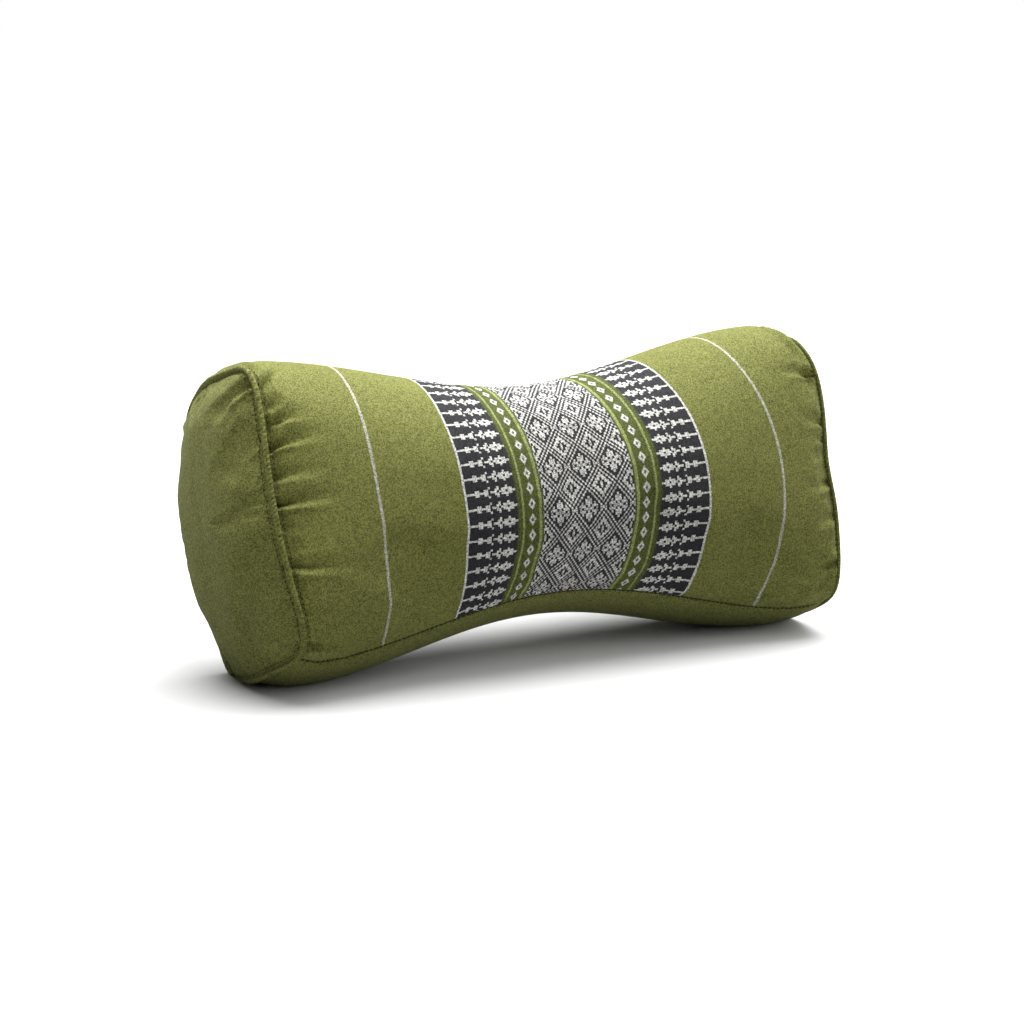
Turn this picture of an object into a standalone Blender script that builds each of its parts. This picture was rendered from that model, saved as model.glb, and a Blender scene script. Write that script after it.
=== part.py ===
"""Bone-shaped neck pillow at its real size, in metres, with +Z up and its front towards -Y.

The pillow is one stuffed body sewn from four cut panels. Each panel is one closed solid that
holds its share of the stuffing, parted from its neighbours along the seams:

    patterned_panel   the woven cloth that wraps the front, the top and the back
    base_panel        the plain strip along the underside, between the two lower seams
    end_panel_left    the plain rounded end at -X, with its raised topstitched seam
    end_panel_right   the same end at +X

A section across the pillow is a superellipse, which is tall at the two lobes and nearly round
at the waist. The stuffed body leans back a little and is pressed flat where it lies.
"""

import collections
import math

import bmesh
import bpy
import numpy as np

# Driving sizes, in metres, and angles, in degrees
HALF_LENGTH = 0.1494  # from the waist to the corners of an end seam
WAIST_HALF_DEPTH = 0.0589
WAIST_HALF_HEIGHT = 0.0565
LEFT_HALF_DEPTH = 0.0551
RIGHT_HALF_DEPTH = 0.0574
LOBE_HALF_HEIGHT = 0.0790
AXIS_HEIGHT = 0.0741  # of the pillow's long axis above the surface that it lies on
LEAN = 19.6  # how far the top of the pillow leans back
LEAN_TWIST = 2.7  # what the left end leans more, and the right end less
WAIST_FORWARD = 0.0018  # bend of the long axis towards the front

# Exponents of the superellipse, from round at 2 to square, and how far its sides swell out
WAIST_SQUARENESS = 2.06
LOBE_SQUARENESS = 2.8
SEAM_SQUARENESS = 5.7
SIDE_SWELL = 0.046  # of the radius, at the lobes

# Where the end seams draw the cloth in
END_DRAW_IN = 0.0052
DRAW_REACH = 0.0137
SEAM_BOW = 0.0034  # how far an end seam stands out between its corners
BOW_START = 0.5  # share of the way from the waist where the sections begin to bow with the seam

# Crowned end panels, the left one stuffed fuller, and the ridge along their seam
LEFT_CROWN = 0.0214
RIGHT_CROWN = 0.0190
LEFT_CROWN_SHAPE = (2.6, 0.75)  # a full dome, steep at its rim
RIGHT_CROWN_SHAPE = (2.0, 1.0)  # a flatter dome, a parabola
RIDGE_WIDTH = 0.0022
RIDGE_RISE = 0.0012
RIDGE_TURNS = (30, 70, 110, 150)  # round its half circle, from the seam to the crown

# The two seams along the underside
BASE_SEAM_AT_WAIST = 62.3  # degrees below the section's level
BASE_SEAM_DROP = 6.2
BASE_SEAM_RISE_AT_END = 4.0
BASE_DRAW_IN = 0.0014
BASE_DRAW_REACH = 0.0035

# Closeness of the sewn edges, and the fineness of the loft
SEAM_GAP = 0.0003
CUT_TOLERANCE = 1e-6
SHARP_ANGLE = 40
WRAP_COLUMNS = 120
BASE_COLUMNS = 14
END_COLUMNS = 76
COLUMN_CROWDING = 0.6  # of a panel's columns towards its two seams, from even at 0
ROW_DISTANCES = (
    0.0, 0.002, 0.0045, 0.008, 0.0125, 0.018, 0.025, 0.034,
    0.045, 0.058, 0.073, 0.090, 0.109, 0.129, 0.1494,
)  # from an end seam to the waist
CROWN_ROWS = (0.985, 0.955, 0.91, 0.84, 0.74, 0.60, 0.42, 0.20)

Pucker = collections.namedtuple("Pucker", "end angle length width depth")

# Short troughs that the end seams gather into the cloth, front and top, from above downwards
FRONT_PUCKERS = (
    Pucker(end=-1, angle=64, length=0.026, width=0.0050, depth=0.0016),
    Pucker(end=-1, angle=49, length=0.022, width=0.0036, depth=0.0015),
    Pucker(end=-1, angle=38, length=0.020, width=0.0040, depth=0.0014),
    Pucker(end=-1, angle=29, length=0.015, width=0.0034, depth=0.0011),
    Pucker(end=-1, angle=14, length=0.018, width=0.0036, depth=0.0012),
    Pucker(end=-1, angle=2, length=0.026, width=0.0040, depth=0.0018),
    Pucker(end=-1, angle=-27, length=0.022, width=0.0036, depth=0.0014),
    Pucker(end=-1, angle=-52, length=0.018, width=0.0040, depth=0.0012),
    Pucker(end=1, angle=60, length=0.024, width=0.0048, depth=0.0016),
    Pucker(end=1, angle=42, length=0.022, width=0.0040, depth=0.0015),
    Pucker(end=1, angle=22, length=0.018, width=0.0036, depth=0.0013),
    Pucker(end=1, angle=13, length=0.016, width=0.0034, depth=0.0012),
    Pucker(end=1, angle=-11, length=0.022, width=0.0040, depth=0.0015),
    Pucker(end=1, angle=-28, length=0.018, width=0.0036, depth=0.0012),
    Pucker(end=1, angle=-49, length=0.020, width=0.0040, depth=0.0013),
)
BACK_PUCKER_ANGLES = range(84, 240, 17)
BACK_PUCKER_SHIFT = 4  # degrees that the right end's stand on, and the left end's stand back
BACK_PUCKER = Pucker(end=0, angle=0, length=0.017, width=0.0042, depth=0.0011)
BACK_PUCKER_LONGER = 0.006  # what every other one is longer
BACK_PUCKER_DEEPER = 0.0003  # and deeper
PUCKER_START = 0.004  # from the seam to a trough's deepest point

# Finishes: base colour, roughness
PATTERNED_CLOTH = ((0.130, 0.155, 0.050), 0.90)
PLAIN_CLOTH = ((0.155, 0.185, 0.045), 0.92)


def back_puckers():
    """The troughs at the back of both ends, which stand evenly and differ a little in size."""
    found = []
    for end in (-1, 1):
        for place, angle in enumerate(BACK_PUCKER_ANGLES):
            larger = (place + (end > 0)) % 2
            found.append(Pucker(
                end=end,
                angle=angle + BACK_PUCKER_SHIFT * end,
                length=BACK_PUCKER.length + BACK_PUCKER_LONGER * larger,
                width=BACK_PUCKER.width,
                depth=BACK_PUCKER.depth + BACK_PUCKER_DEEPER * larger,
            ))
    return found


def lobe(t):
    """Share of the lobes' swell: a raised cosine, 0 at the waist and 1 at the end seams."""
    return 0.5 - 0.5 * np.cos(np.pi * np.abs(t))


def seam_pull(t):
    """Share of an end seam's draw-in: it dies away from the seam as an exponential."""
    return np.exp(-(1 - np.abs(t)) * HALF_LENGTH / DRAW_REACH)


def half_sizes(t):
    """Half depth, half height and squareness of the section at t, from -1 to 1 along the pillow."""
    swell, pull = lobe(t), seam_pull(t)
    right_share = 0.5 + 0.5 * np.sign(t)
    end_depth = LEFT_HALF_DEPTH + (RIGHT_HALF_DEPTH - LEFT_HALF_DEPTH) * right_share
    depth = WAIST_HALF_DEPTH + (end_depth - WAIST_HALF_DEPTH) * swell - END_DRAW_IN * pull
    height = WAIST_HALF_HEIGHT + (LOBE_HALF_HEIGHT - WAIST_HALF_HEIGHT) * swell - END_DRAW_IN * pull
    squareness = WAIST_SQUARENESS + (LOBE_SQUARENESS - WAIST_SQUARENESS) * swell
    squareness = squareness + (SEAM_SQUARENESS - LOBE_SQUARENESS) * pull
    return depth, height, squareness


def corner_turn(depth, height, angle):
    """The angle squared up to the section's box, from 0 at its sides' middles to 90 degrees."""
    return np.arctan2(np.abs(np.sin(angle)) / height, np.abs(np.cos(angle)) / depth)


def radius(t, angle):
    """Distance from the long axis to the cloth: a superellipse in polar form, its sides swelled.

    The swell is 1 + s * cos(2 * turn) ** 2, and the superellipse is 1 + s smaller to make up.
    """
    depth, height, n = half_sizes(t)
    across = np.abs(np.cos(angle) / depth) ** n
    along = np.abs(np.sin(angle) / height) ** n
    swell = SIDE_SWELL * lobe(t)
    fuller = (1 + swell * np.cos(2 * corner_turn(depth, height, angle)) ** 2) / (1 + swell)
    return (across + along) ** (-1 / n) * fuller


def base_seam_angle(t):
    """Angle of the lower front seam. The lower back seam mirrors it in the section."""
    drop = BASE_SEAM_AT_WAIST + BASE_SEAM_DROP * lobe(t) - BASE_SEAM_RISE_AT_END * seam_pull(t)
    return -np.radians(drop)


def groove(t, angle, plain):
    """Depth of the draw-in along the lower seams: an exponential of the way from the nearer seam."""
    front = base_seam_angle(t)
    back = -math.pi - front
    turned = np.where(angle > math.pi / 2, angle - 2 * math.pi, angle)
    nearer = np.minimum(np.abs(turned - front), np.abs(turned - back))
    return BASE_DRAW_IN * np.exp(-nearer * plain / BASE_DRAW_REACH)


def pucker_depth(t, angle, plain):
    """Depth of all the troughs: each is a Gaussian across, rises fast at the seam and fades out."""
    total = np.zeros(np.broadcast(t, angle).shape)
    for pucker in (*FRONT_PUCKERS, *back_puckers()):
        distance = (1 - pucker.end * t) * HALF_LENGTH
        rise = np.clip(distance / PUCKER_START, 0, 1)
        fade = np.clip(1 - (distance - PUCKER_START) / pucker.length, 0, 1) ** 2
        across = (angle - math.radians(pucker.angle)) * plain / pucker.width
        total = total + pucker.depth * rise * np.minimum(fade, 1) * np.exp(-(across**2))
    return total


def end_seam_x(t_sign, angle):
    """Place of an end seam along the pillow: it bows out between the section's four corners."""
    depth, height, _ = half_sizes(np.float64(t_sign))
    turn = corner_turn(depth, height, angle)
    return t_sign * (HALF_LENGTH + SEAM_BOW * np.cos(2 * turn) ** 2)


def stand(x, front, up, t):
    """World points of a section's points: the section is leaned back and set at its height."""
    lean = np.radians(LEAN - LEAN_TWIST * t)
    forward = front * np.cos(lean) - up * np.sin(lean) + WAIST_FORWARD * (1 - t**2)
    height = front * np.sin(lean) + up * np.cos(lean) + AXIS_HEIGHT
    return np.stack(np.broadcast_arrays(x, -forward, height), axis=-1)


def body_ring(t, angles, lower=0.0):
    """One section of the stuffed body at t, through the given angles, set lower in the section."""
    plain = radius(t, angles)
    reach = plain - groove(t, angles, plain) - pucker_depth(t, angles, plain)
    stretch = end_seam_x(1.0, angles) if t >= 0 else -end_seam_x(-1.0, angles)
    near_end = np.clip((np.abs(t) - BOW_START) / (1 - BOW_START), 0, 1) ** 2
    x = t * HALF_LENGTH * (1 + (stretch / HALF_LENGTH - 1) * near_end)
    return stand(x, reach * np.cos(angles), reach * np.sin(angles) - lower, t)


def body_places():
    """The sections' places along the pillow, from -1 to 1, close together at the ends."""
    right = [1 - distance / HALF_LENGTH for distance in ROW_DISTANCES]
    left = [-t for t in right[:-1]]
    return [*left, *reversed(right)]


def eased(columns):
    """Even steps from 0 to 1 that come closer together at both ends."""
    steps = np.linspace(0, 1, columns + 1)
    return steps - COLUMN_CROWDING * np.sin(2 * math.pi * steps) / (2 * math.pi)


def wrap_angles(t):
    """Angles of the patterned panel, from the front seam over the top to the back seam."""
    front = base_seam_angle(t)
    return front + (math.pi - 2 * front) * eased(WRAP_COLUMNS)


def base_angles(t):
    """Angles of the base panel, from the back seam under the pillow to the front seam."""
    front = base_seam_angle(t)
    return (-math.pi - front) + (math.pi + 2 * front) * eased(BASE_COLUMNS)


def end_ring(side, angles, share, stand_out, rise=0.0):
    """A ring of an end panel: the seam's section times share, moved out along the pillow."""
    t = np.float64(side)
    reach = radius(t, angles) * share + rise
    bow = (end_seam_x(side, angles) - side * HALF_LENGTH) * share**2
    x = side * (HALF_LENGTH + SEAM_GAP + stand_out) + bow
    return stand(x, reach * np.cos(angles), reach * np.sin(angles), t)


def end_rings(side, crown, shape):
    """Rings of an end panel: its inner edge, the half-round ridge, and the crown to the middle."""
    power, roundness = shape
    angles = np.linspace(0, 2 * math.pi, END_COLUMNS, endpoint=False)
    rings = [end_ring(side, angles, 1.0, 0.0)]
    for turn in RIDGE_TURNS:
        around = math.radians(turn)
        out = RIDGE_WIDTH * (1 - math.cos(around)) / 2
        rings.append(end_ring(side, angles, 1.0, out, RIDGE_RISE * math.sin(around)))
    for share in CROWN_ROWS:
        rise = crown * (1 - share**power) ** roundness
        rings.append(end_ring(side, angles, share, max(rise, RIDGE_WIDTH)))
    return rings


def loft(name, rings, first_tip, last_tip):
    """A closed solid through unlike sections: each ring is joined to the next, and each end to its tip."""
    work = bmesh.new()
    made = [[work.verts.new(point) for point in ring] for ring in rings]
    for ring, following in zip(made, made[1:]):
        for here, point in enumerate(ring):
            after = (here + 1) % len(ring)
            work.faces.new((point, ring[after], following[after], following[here]))
    for ring, tip in ((made[0], first_tip), (made[-1], last_tip)):
        middle = work.verts.new(tip)
        for here, point in enumerate(ring):
            work.faces.new((point, ring[(here + 1) % len(ring)], middle))
    bmesh.ops.recalc_face_normals(work, faces=work.faces)
    press_flat(work)
    mesh = bpy.data.meshes.new(name)
    work.to_mesh(mesh)
    work.free()
    mesh.shade_smooth()
    mesh.set_sharp_from_angle(angle=math.radians(SHARP_ANGLE))
    return bpy.data.objects.new(name, mesh)


def press_flat(work):
    """Cuts off what would lie below the surface, and closes the cut with a flat face."""
    everything = work.verts[:] + work.edges[:] + work.faces[:]
    cut = bmesh.ops.bisect_plane(
        work,
        geom=everything,
        dist=CUT_TOLERANCE,
        plane_co=(0, 0, 0),
        plane_no=(0, 0, -1),
        clear_outer=True,
    )
    rim = [element for element in cut["geom_cut"] if isinstance(element, bmesh.types.BMEdge)]
    if rim:
        bmesh.ops.edgeloop_fill(work, edges=rim)
        bmesh.ops.recalc_face_normals(work, faces=work.faces)


def make_patterned_panel():
    """The stuffed wrap: sections from the front seam over the top to the back seam."""
    rings = [body_ring(np.float64(t), wrap_angles(np.float64(t))) for t in body_places()]
    tips = [stand(side * HALF_LENGTH, 0.0, 0.0, np.float64(side)) for side in (-1, 1)]
    return loft("patterned_panel", rings, *tips)


def make_base_panel():
    """The underside: sections from the back seam to the front seam, one seam gap lower."""
    rings = []
    for t in body_places():
        rings.append(body_ring(np.float64(t), base_angles(np.float64(t)), SEAM_GAP))
    tips = []
    for side, ring in ((-1, rings[0]), (1, rings[-1])):
        tip = ring.mean(axis=0)
        tip[0] = side * np.abs(ring[:, 0]).min()
        tips.append(tip)
    return loft("base_panel", rings, *tips)


def make_end_panel(name, side, crown, shape):
    """A crowned end with its raised seam."""
    t = np.float64(side)
    inner = stand(side * (HALF_LENGTH + SEAM_GAP), 0.0, 0.0, t)
    outer = stand(side * (HALF_LENGTH + SEAM_GAP + crown), 0.0, 0.0, t)
    return loft(name, end_rings(side, crown, shape), inner, outer)


def cloth(name, colour, roughness):
    """A plain cloth finish."""
    material = bpy.data.materials.new(name)
    material.use_nodes = True
    shader = material.node_tree.nodes["Principled BSDF"]
    shader.inputs["Base Color"].default_value = (*colour, 1)
    shader.inputs["Roughness"].default_value = roughness
    shader.inputs["Metallic"].default_value = 0.0
    material.diffuse_color = (*colour, 1)
    return material


def centre(parts):
    """Moves the panels together, so that the middle of their box stands over the origin."""
    points = np.array([vertex.co[:] for part in parts for vertex in part.data.vertices])
    middle = (points.min(axis=0) + points.max(axis=0)) / 2
    for part in parts:
        for vertex in part.data.vertices:
            vertex.co.x -= middle[0]
            vertex.co.y -= middle[1]


def main():
    """Builds the four panels in a collection of their own."""
    for old in list(bpy.data.objects):
        bpy.data.objects.remove(old, do_unlink=True)
    pillow = bpy.data.collections.new("bone_neck_pillow")
    bpy.context.scene.collection.children.link(pillow)
    parts = [
        make_patterned_panel(),
        make_base_panel(),
        make_end_panel("end_panel_left", -1.0, LEFT_CROWN, LEFT_CROWN_SHAPE),
        make_end_panel("end_panel_right", 1.0, RIGHT_CROWN, RIGHT_CROWN_SHAPE),
    ]
    for part in parts:
        finish = PATTERNED_CLOTH if part.name == "patterned_panel" else PLAIN_CLOTH
        part.data.materials.append(cloth(part.name + "_cloth", *finish))
        pillow.objects.link(part)
    centre(parts)


main()
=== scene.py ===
"""Looks of the bone-shaped neck pillow: its stuffed cloth panels, seams, stitches and woven band.

Shapes are in metres and angles in degrees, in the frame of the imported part: +Z up, the front
towards -Y. A section's angle is measured from its front, over the top, to its back. Woven
patterns are laid out in millimetres of cloth, on each piece's own UV maps.
"""

import logging
import math
from dataclasses import dataclass, field
from enum import Enum

import bmesh
import bpy
import numpy as np
from mathutils import Matrix, Vector


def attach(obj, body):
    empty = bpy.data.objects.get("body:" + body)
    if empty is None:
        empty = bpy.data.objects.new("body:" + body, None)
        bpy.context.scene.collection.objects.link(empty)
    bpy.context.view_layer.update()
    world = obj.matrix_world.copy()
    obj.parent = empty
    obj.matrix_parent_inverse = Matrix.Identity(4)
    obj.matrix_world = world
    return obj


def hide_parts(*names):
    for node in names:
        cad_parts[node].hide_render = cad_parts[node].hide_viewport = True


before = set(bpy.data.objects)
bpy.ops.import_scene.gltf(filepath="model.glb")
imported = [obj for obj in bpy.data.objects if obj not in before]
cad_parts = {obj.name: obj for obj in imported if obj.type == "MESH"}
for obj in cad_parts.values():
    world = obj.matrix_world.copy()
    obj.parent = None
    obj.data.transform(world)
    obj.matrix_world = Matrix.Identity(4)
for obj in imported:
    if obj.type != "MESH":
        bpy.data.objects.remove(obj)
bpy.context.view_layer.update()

MILLIMETRES = 1000.0  # in a metre
PATTERN_MAP = "pattern"  # UV map: where a thread lies in the woven band
WEAVE_MAP = "weave"  # UV map: plain millimetres along and round the cloth
SEAM_CORNER = 60.0  # edges of the wrap and the strip that turn more than this are sharp
RIDGE_CORNER = 80.0  # the same for an end's ridge and for stitches
PROBE = 0.01  # way outwards to a second point, which gives a surface's outward direction

log = logging.getLogger("neck_pillow")


class Side(Enum):
    """An end of the pillow, by the sign of its place along X."""

    LEFT = -1
    RIGHT = 1


@dataclass(frozen=True)
class Crease:
    """A trough that a seam gathers into the cloth, with the soft shoulders that stand beside it.

    The trough starts at a seam, at an angle round it, and drifts in angle along its length. A
    depth below zero makes a swell instead.
    """

    angle: float
    length: float
    width: float
    depth: float
    drift: float = 0.0
    shoulder: float = 0.45
    steepness: float = 1.7  # of the lower side, against the upper side's
    share_at_seam: float = 0.35  # of the depth, which grows to the whole
    growth: float = 0.003  # way from the seam over which the depth grows by its whole
    width_at_seam: float = 0.75  # as a share of the width
    widening: float = 0.9  # what the width gains along the crease, as a share of it
    shoulder_place: float = 2.0  # in widths from the trough's middle
    upper_shoulder: float = 0.5  # height of the upper shoulder, as a share of the lower one's

    def rise(self, distance: np.ndarray, angle: np.ndarray, reach: np.ndarray) -> np.ndarray:
        """Height that the crease adds to the cloth, below zero in its trough.

        Along it, the depth grows over the first millimetres and fades as a square. Across it, a
        Gaussian trough lies between two Gaussian shoulders, and its lower side is steeper,
        since the cloth above hangs over it.

        Args:
            distance: Way from the seam, in metres.
            angle: Angle round the section, in radians.
            reach: Distance from the section's middle, in metres.

        Returns:
            The added height, in metres.
        """
        share = np.clip(distance / self.length, 0.0, 1.0)
        along = np.clip(self.share_at_seam + distance / self.growth, 0.0, 1.0) * (1.0 - share) ** 2
        centre = math.radians(self.angle) + math.radians(self.drift) * share
        turned = (angle - centre + math.pi) % (2 * math.pi) - math.pi
        across = turned * reach / (self.width * (self.width_at_seam + self.widening * share))
        across = np.where(across < 0, across * self.steepness, across)
        trough = np.exp(-(across**2))
        upper = self.upper_shoulder * np.exp(-((across - self.shoulder_place) ** 2))
        lower = np.exp(-((across + self.shoulder_place) ** 2))
        return self.depth * along * (self.shoulder * (upper + lower) - trough)


def creases_rise(creases: tuple, distance: np.ndarray, angle: np.ndarray, reach: np.ndarray) -> np.ndarray:
    """Sum of what all the creases add to the cloth.

    Args:
        creases: The creases of one seam.
        distance: Way from the seam, in metres.
        angle: Angle round the section, in radians.
        reach: Distance from the section's middle, in metres.

    Returns:
        The added height, in metres.
    """
    total = np.zeros(np.broadcast(distance, angle).shape)
    for crease in creases:
        total = total + crease.rise(distance, angle, reach)
    return total


def degrees_from(middle: float, angle: np.ndarray) -> np.ndarray:
    """Way round the section from a place on it, from -180 to 180 degrees, of angles in radians."""
    return (np.degrees(angle) - middle + 180) % 360 - 180


def unit(directions: np.ndarray) -> np.ndarray:
    """Directions at a length of one."""
    return directions / np.linalg.norm(directions, axis=1, keepdims=True)


@dataclass(frozen=True)
class Tuck:
    """A stretch of an end seam that is drawn in further, by its middle and half width round it."""

    side: Side
    middle: float
    half_width: float
    depth: float
    reach: float

    def depth_at(self, way: np.ndarray, angle: np.ndarray) -> np.ndarray:
        """How much further in the cloth lies.

        Round the seam it is a bell with a flat top, an exponential of the fourth power. Away
        from the seam it fades as a Gaussian.

        Args:
            way: Way from the seam, in metres.
            angle: Angle round the section, in radians.

        Returns:
            The depth, in metres.
        """
        bell = np.exp(-((degrees_from(self.middle, angle) / self.half_width) ** 4))
        return self.depth * bell * np.exp(-((way / self.reach) ** 2))


@dataclass(frozen=True)
class Kink:
    """A place where an end seam is pushed along the pillow: outwards, or inwards below zero."""

    side: Side
    middle: float
    half_width: float
    push: float

    def push_at(self, angle: np.ndarray) -> np.ndarray:
        """How far the seam is pushed, as a Gaussian round it."""
        return self.push * np.exp(-((degrees_from(self.middle, angle) / self.half_width) ** 2))


@dataclass(frozen=True)
class StuffedForm:
    """The stuffed body's surface, at t from -1 to 1 along it and at an angle round it.

    A section is a superellipse, tall at the two lobes and nearly round at the waist. The body
    leans back and is pressed flat where it lies. The body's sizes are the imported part's own,
    and the narrow valley in the lower seams, the kinks and the tucks are added to them here.
    """

    half_length: float = 0.1494
    waist_half_depth: float = 0.0589
    waist_half_height: float = 0.0565
    left_half_depth: float = 0.0551
    right_half_depth: float = 0.0574
    lobe_half_height: float = 0.0790
    axis_height: float = 0.0741
    lean: float = 19.6
    lean_twist: float = 2.7
    waist_forward: float = 0.0018
    waist_squareness: float = 2.06
    lobe_squareness: float = 2.8
    seam_squareness: float = 5.7
    side_swell: float = 0.046
    end_draw_in: float = 0.0052
    draw_reach: float = 0.0137
    seam_bow: float = 0.0034
    base_seam_at_waist: float = 62.3
    base_seam_drop: float = 7.4
    base_seam_rise_at_end: float = 3.0
    base_draw_in: float = 0.0014
    base_draw_reach: float = 0.0035
    seam_gap: float = 0.0003
    middle_shift: float = 0.0012
    press_softness: float = 0.0006
    seam_valley: float = 0.0012
    seam_valley_reach: float = 0.0009
    kinks: tuple = (
        Kink(Side.LEFT, middle=-60, half_width=17, push=-0.0036),
        Kink(Side.RIGHT, middle=-2, half_width=21, push=-0.0037),
        Kink(Side.RIGHT, middle=40, half_width=16, push=0.0023),
    )
    tucks: tuple = (
        Tuck(Side.LEFT, middle=98, half_width=34, depth=0.0024, reach=0.0034),
        Tuck(Side.LEFT, middle=-97, half_width=30, depth=0.0024, reach=0.0080),
        Tuck(Side.RIGHT, middle=64, half_width=15, depth=0.0030, reach=0.0050),
    )

    def lobe(self, t: np.ndarray) -> np.ndarray:
        """Share of the lobes' swell: a raised cosine, 0 at the waist and 1 at the ends."""
        return 0.5 - 0.5 * np.cos(np.pi * np.abs(t))

    def seam_pull(self, t: np.ndarray) -> np.ndarray:
        """Share of an end seam's draw-in: an exponential of the way from the seam."""
        return np.exp(-(1 - np.abs(t)) * self.half_length / self.draw_reach)

    def half_sizes(self, t: np.ndarray) -> tuple:
        """Half depth, half height and squareness of the section at t.

        Args:
            t: Place along the pillow, from -1 to 1.

        Returns:
            Three arrays: half depth, half height, and the superellipse's exponent.
        """
        swell, pull = self.lobe(t), self.seam_pull(t)
        right_share = 0.5 + 0.5 * np.sign(t)
        end_depth = self.left_half_depth + (self.right_half_depth - self.left_half_depth) * right_share
        drawn = self.end_draw_in * pull
        depth = self.waist_half_depth + (end_depth - self.waist_half_depth) * swell - drawn
        height = self.waist_half_height + (self.lobe_half_height - self.waist_half_height) * swell - drawn
        squareness = self.waist_squareness + (self.lobe_squareness - self.waist_squareness) * swell
        return depth, height, squareness + (self.seam_squareness - self.lobe_squareness) * pull

    def corner_turn(self, t: np.ndarray, angle: np.ndarray) -> np.ndarray:
        """The angle squared up to the section's box: 0 and 90 degrees at its sides' middles."""
        depth, height, _ = self.half_sizes(t)
        return np.arctan2(np.abs(np.sin(angle)) / height, np.abs(np.cos(angle)) / depth)

    def radius(self, t: np.ndarray, angle: np.ndarray) -> np.ndarray:
        """Distance from the long axis to the cloth: a superellipse in polar form, sides swelled.

        Args:
            t: Place along the pillow, from -1 to 1.
            angle: Angle round the section, in radians.

        Returns:
            The distance, in metres.
        """
        depth, height, n = self.half_sizes(t)
        power = np.abs(np.cos(angle) / depth) ** n + np.abs(np.sin(angle) / height) ** n
        swell = self.side_swell * self.lobe(t)
        fuller = (1 + swell * np.cos(2 * self.corner_turn(t, angle)) ** 2) / (1 + swell)
        ways = [(1 - tuck.side.value * t) * self.half_length for tuck in self.tucks]
        drawn = sum(tuck.depth_at(way, angle) for tuck, way in zip(self.tucks, ways))
        return power ** (-1 / n) * fuller - drawn

    def base_seam_angle(self, t: np.ndarray) -> np.ndarray:
        """Angle of the lower front seam, in radians. The lower back seam mirrors it."""
        drop = self.base_seam_at_waist + self.base_seam_drop * self.lobe(t)
        return -np.radians(drop - self.base_seam_rise_at_end * self.seam_pull(t))

    def groove(self, t: np.ndarray, angle: np.ndarray, reach: np.ndarray) -> np.ndarray:
        """Depth of the draw-in along the lower seams, an exponential of the way from the nearer.

        A narrow Gaussian valley is added where the cloth turns in to the stitches.

        Args:
            t: Place along the pillow, from -1 to 1.
            angle: Angle round the section, in radians.
            reach: Distance from the long axis, in metres.

        Returns:
            The depth, in metres.
        """
        front = self.base_seam_angle(t)
        turned = np.where(angle > math.pi / 2, angle - 2 * math.pi, angle)
        nearer = np.minimum(np.abs(turned - front), np.abs(turned + math.pi + front)) * reach
        valley = self.seam_valley * np.exp(-((nearer / self.seam_valley_reach) ** 2))
        return self.base_draw_in * np.exp(-nearer / self.base_draw_reach) + valley

    def end_seam_x(self, side: float, angle: np.ndarray) -> np.ndarray:
        """Place of an end seam along the pillow: it bows out between the section's corners.

        Args:
            side: The end, -1 or 1.
            angle: Angle round the section, in radians.

        Returns:
            The X of the seam, in metres, before the pillow is centred.
        """
        bow = self.seam_bow * np.cos(2 * self.corner_turn(np.float64(side), angle)) ** 2
        pushed = sum(kink.push_at(angle) for kink in self.kinks if kink.side.value == side)
        return side * (self.half_length + bow + pushed)

    def body_x(self, t: np.ndarray, angle: np.ndarray) -> np.ndarray:
        """Place along the pillow of the body's sections, which follow the bowed end seams.

        The bow fades towards the waist as a square, over the outer half of the way.

        Args:
            t: Place along the pillow, from -1 to 1.
            angle: Angle round the section, in radians.

        Returns:
            The X of the section, in metres, before the pillow is centred.
        """
        seam = np.where(t < 0, -self.end_seam_x(-1.0, angle), self.end_seam_x(1.0, angle))
        stretch = seam / self.half_length
        near_end = np.clip(np.abs(t) * 2 - 1, 0, 1) ** 2
        return t * self.half_length * (1 + (stretch - 1) * near_end)

    def stand(self, x: np.ndarray, front: np.ndarray, up: np.ndarray, t: np.ndarray) -> np.ndarray:
        """World points of a section's points: leaned back, set at their height and pressed flat.

        The press keeps a point above the surface with a soft corner: half of the height plus
        the root of its square and the softness's square.

        Args:
            x: Place along the pillow.
            front: Way towards the section's front.
            up: Way towards the section's top.
            t: Place along the pillow from -1 to 1, for the lean.

        Returns:
            An array of points, with X, Y and Z last.
        """
        lean = np.radians(self.lean - self.lean_twist * t)
        forward = front * np.cos(lean) - up * np.sin(lean) + self.waist_forward * (1 - t**2)
        height = front * np.sin(lean) + up * np.cos(lean) + self.axis_height
        pressed = 0.5 * (height + np.sqrt(height**2 + self.press_softness**2))
        return np.stack(np.broadcast_arrays(x + self.middle_shift, -forward, pressed), axis=-1)


def grid_quads(rows: int, columns: int, closed: bool) -> np.ndarray:
    """Four-cornered faces of a grid whose points are numbered row by row.

    Args:
        rows: Number of rows of points.
        columns: Number of points in a row.
        closed: Whether a row's last point is joined to its first.

    Returns:
        An array of faces, four point numbers each.
    """
    across = columns if closed else columns - 1
    row, column = np.meshgrid(np.arange(rows - 1), np.arange(across), indexing="ij")
    after = (column + 1) % columns
    corners = (row * columns + column, (row + 1) * columns + column)
    corners += ((row + 1) * columns + after, row * columns + after)
    return np.stack([corner.ravel() for corner in corners], axis=-1)


def fan_triangles(ring_start: int, columns: int, tip: int) -> np.ndarray:
    """Triangles that close a ring of points to one tip.

    Args:
        ring_start: Number of the ring's first point.
        columns: Number of points in the ring.
        tip: Number of the tip's point.

    Returns:
        An array of faces, three point numbers each.
    """
    here = np.arange(columns)
    after = (here + 1) % columns
    return np.stack([ring_start + here, ring_start + after, np.full(columns, tip)], axis=-1)


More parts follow.
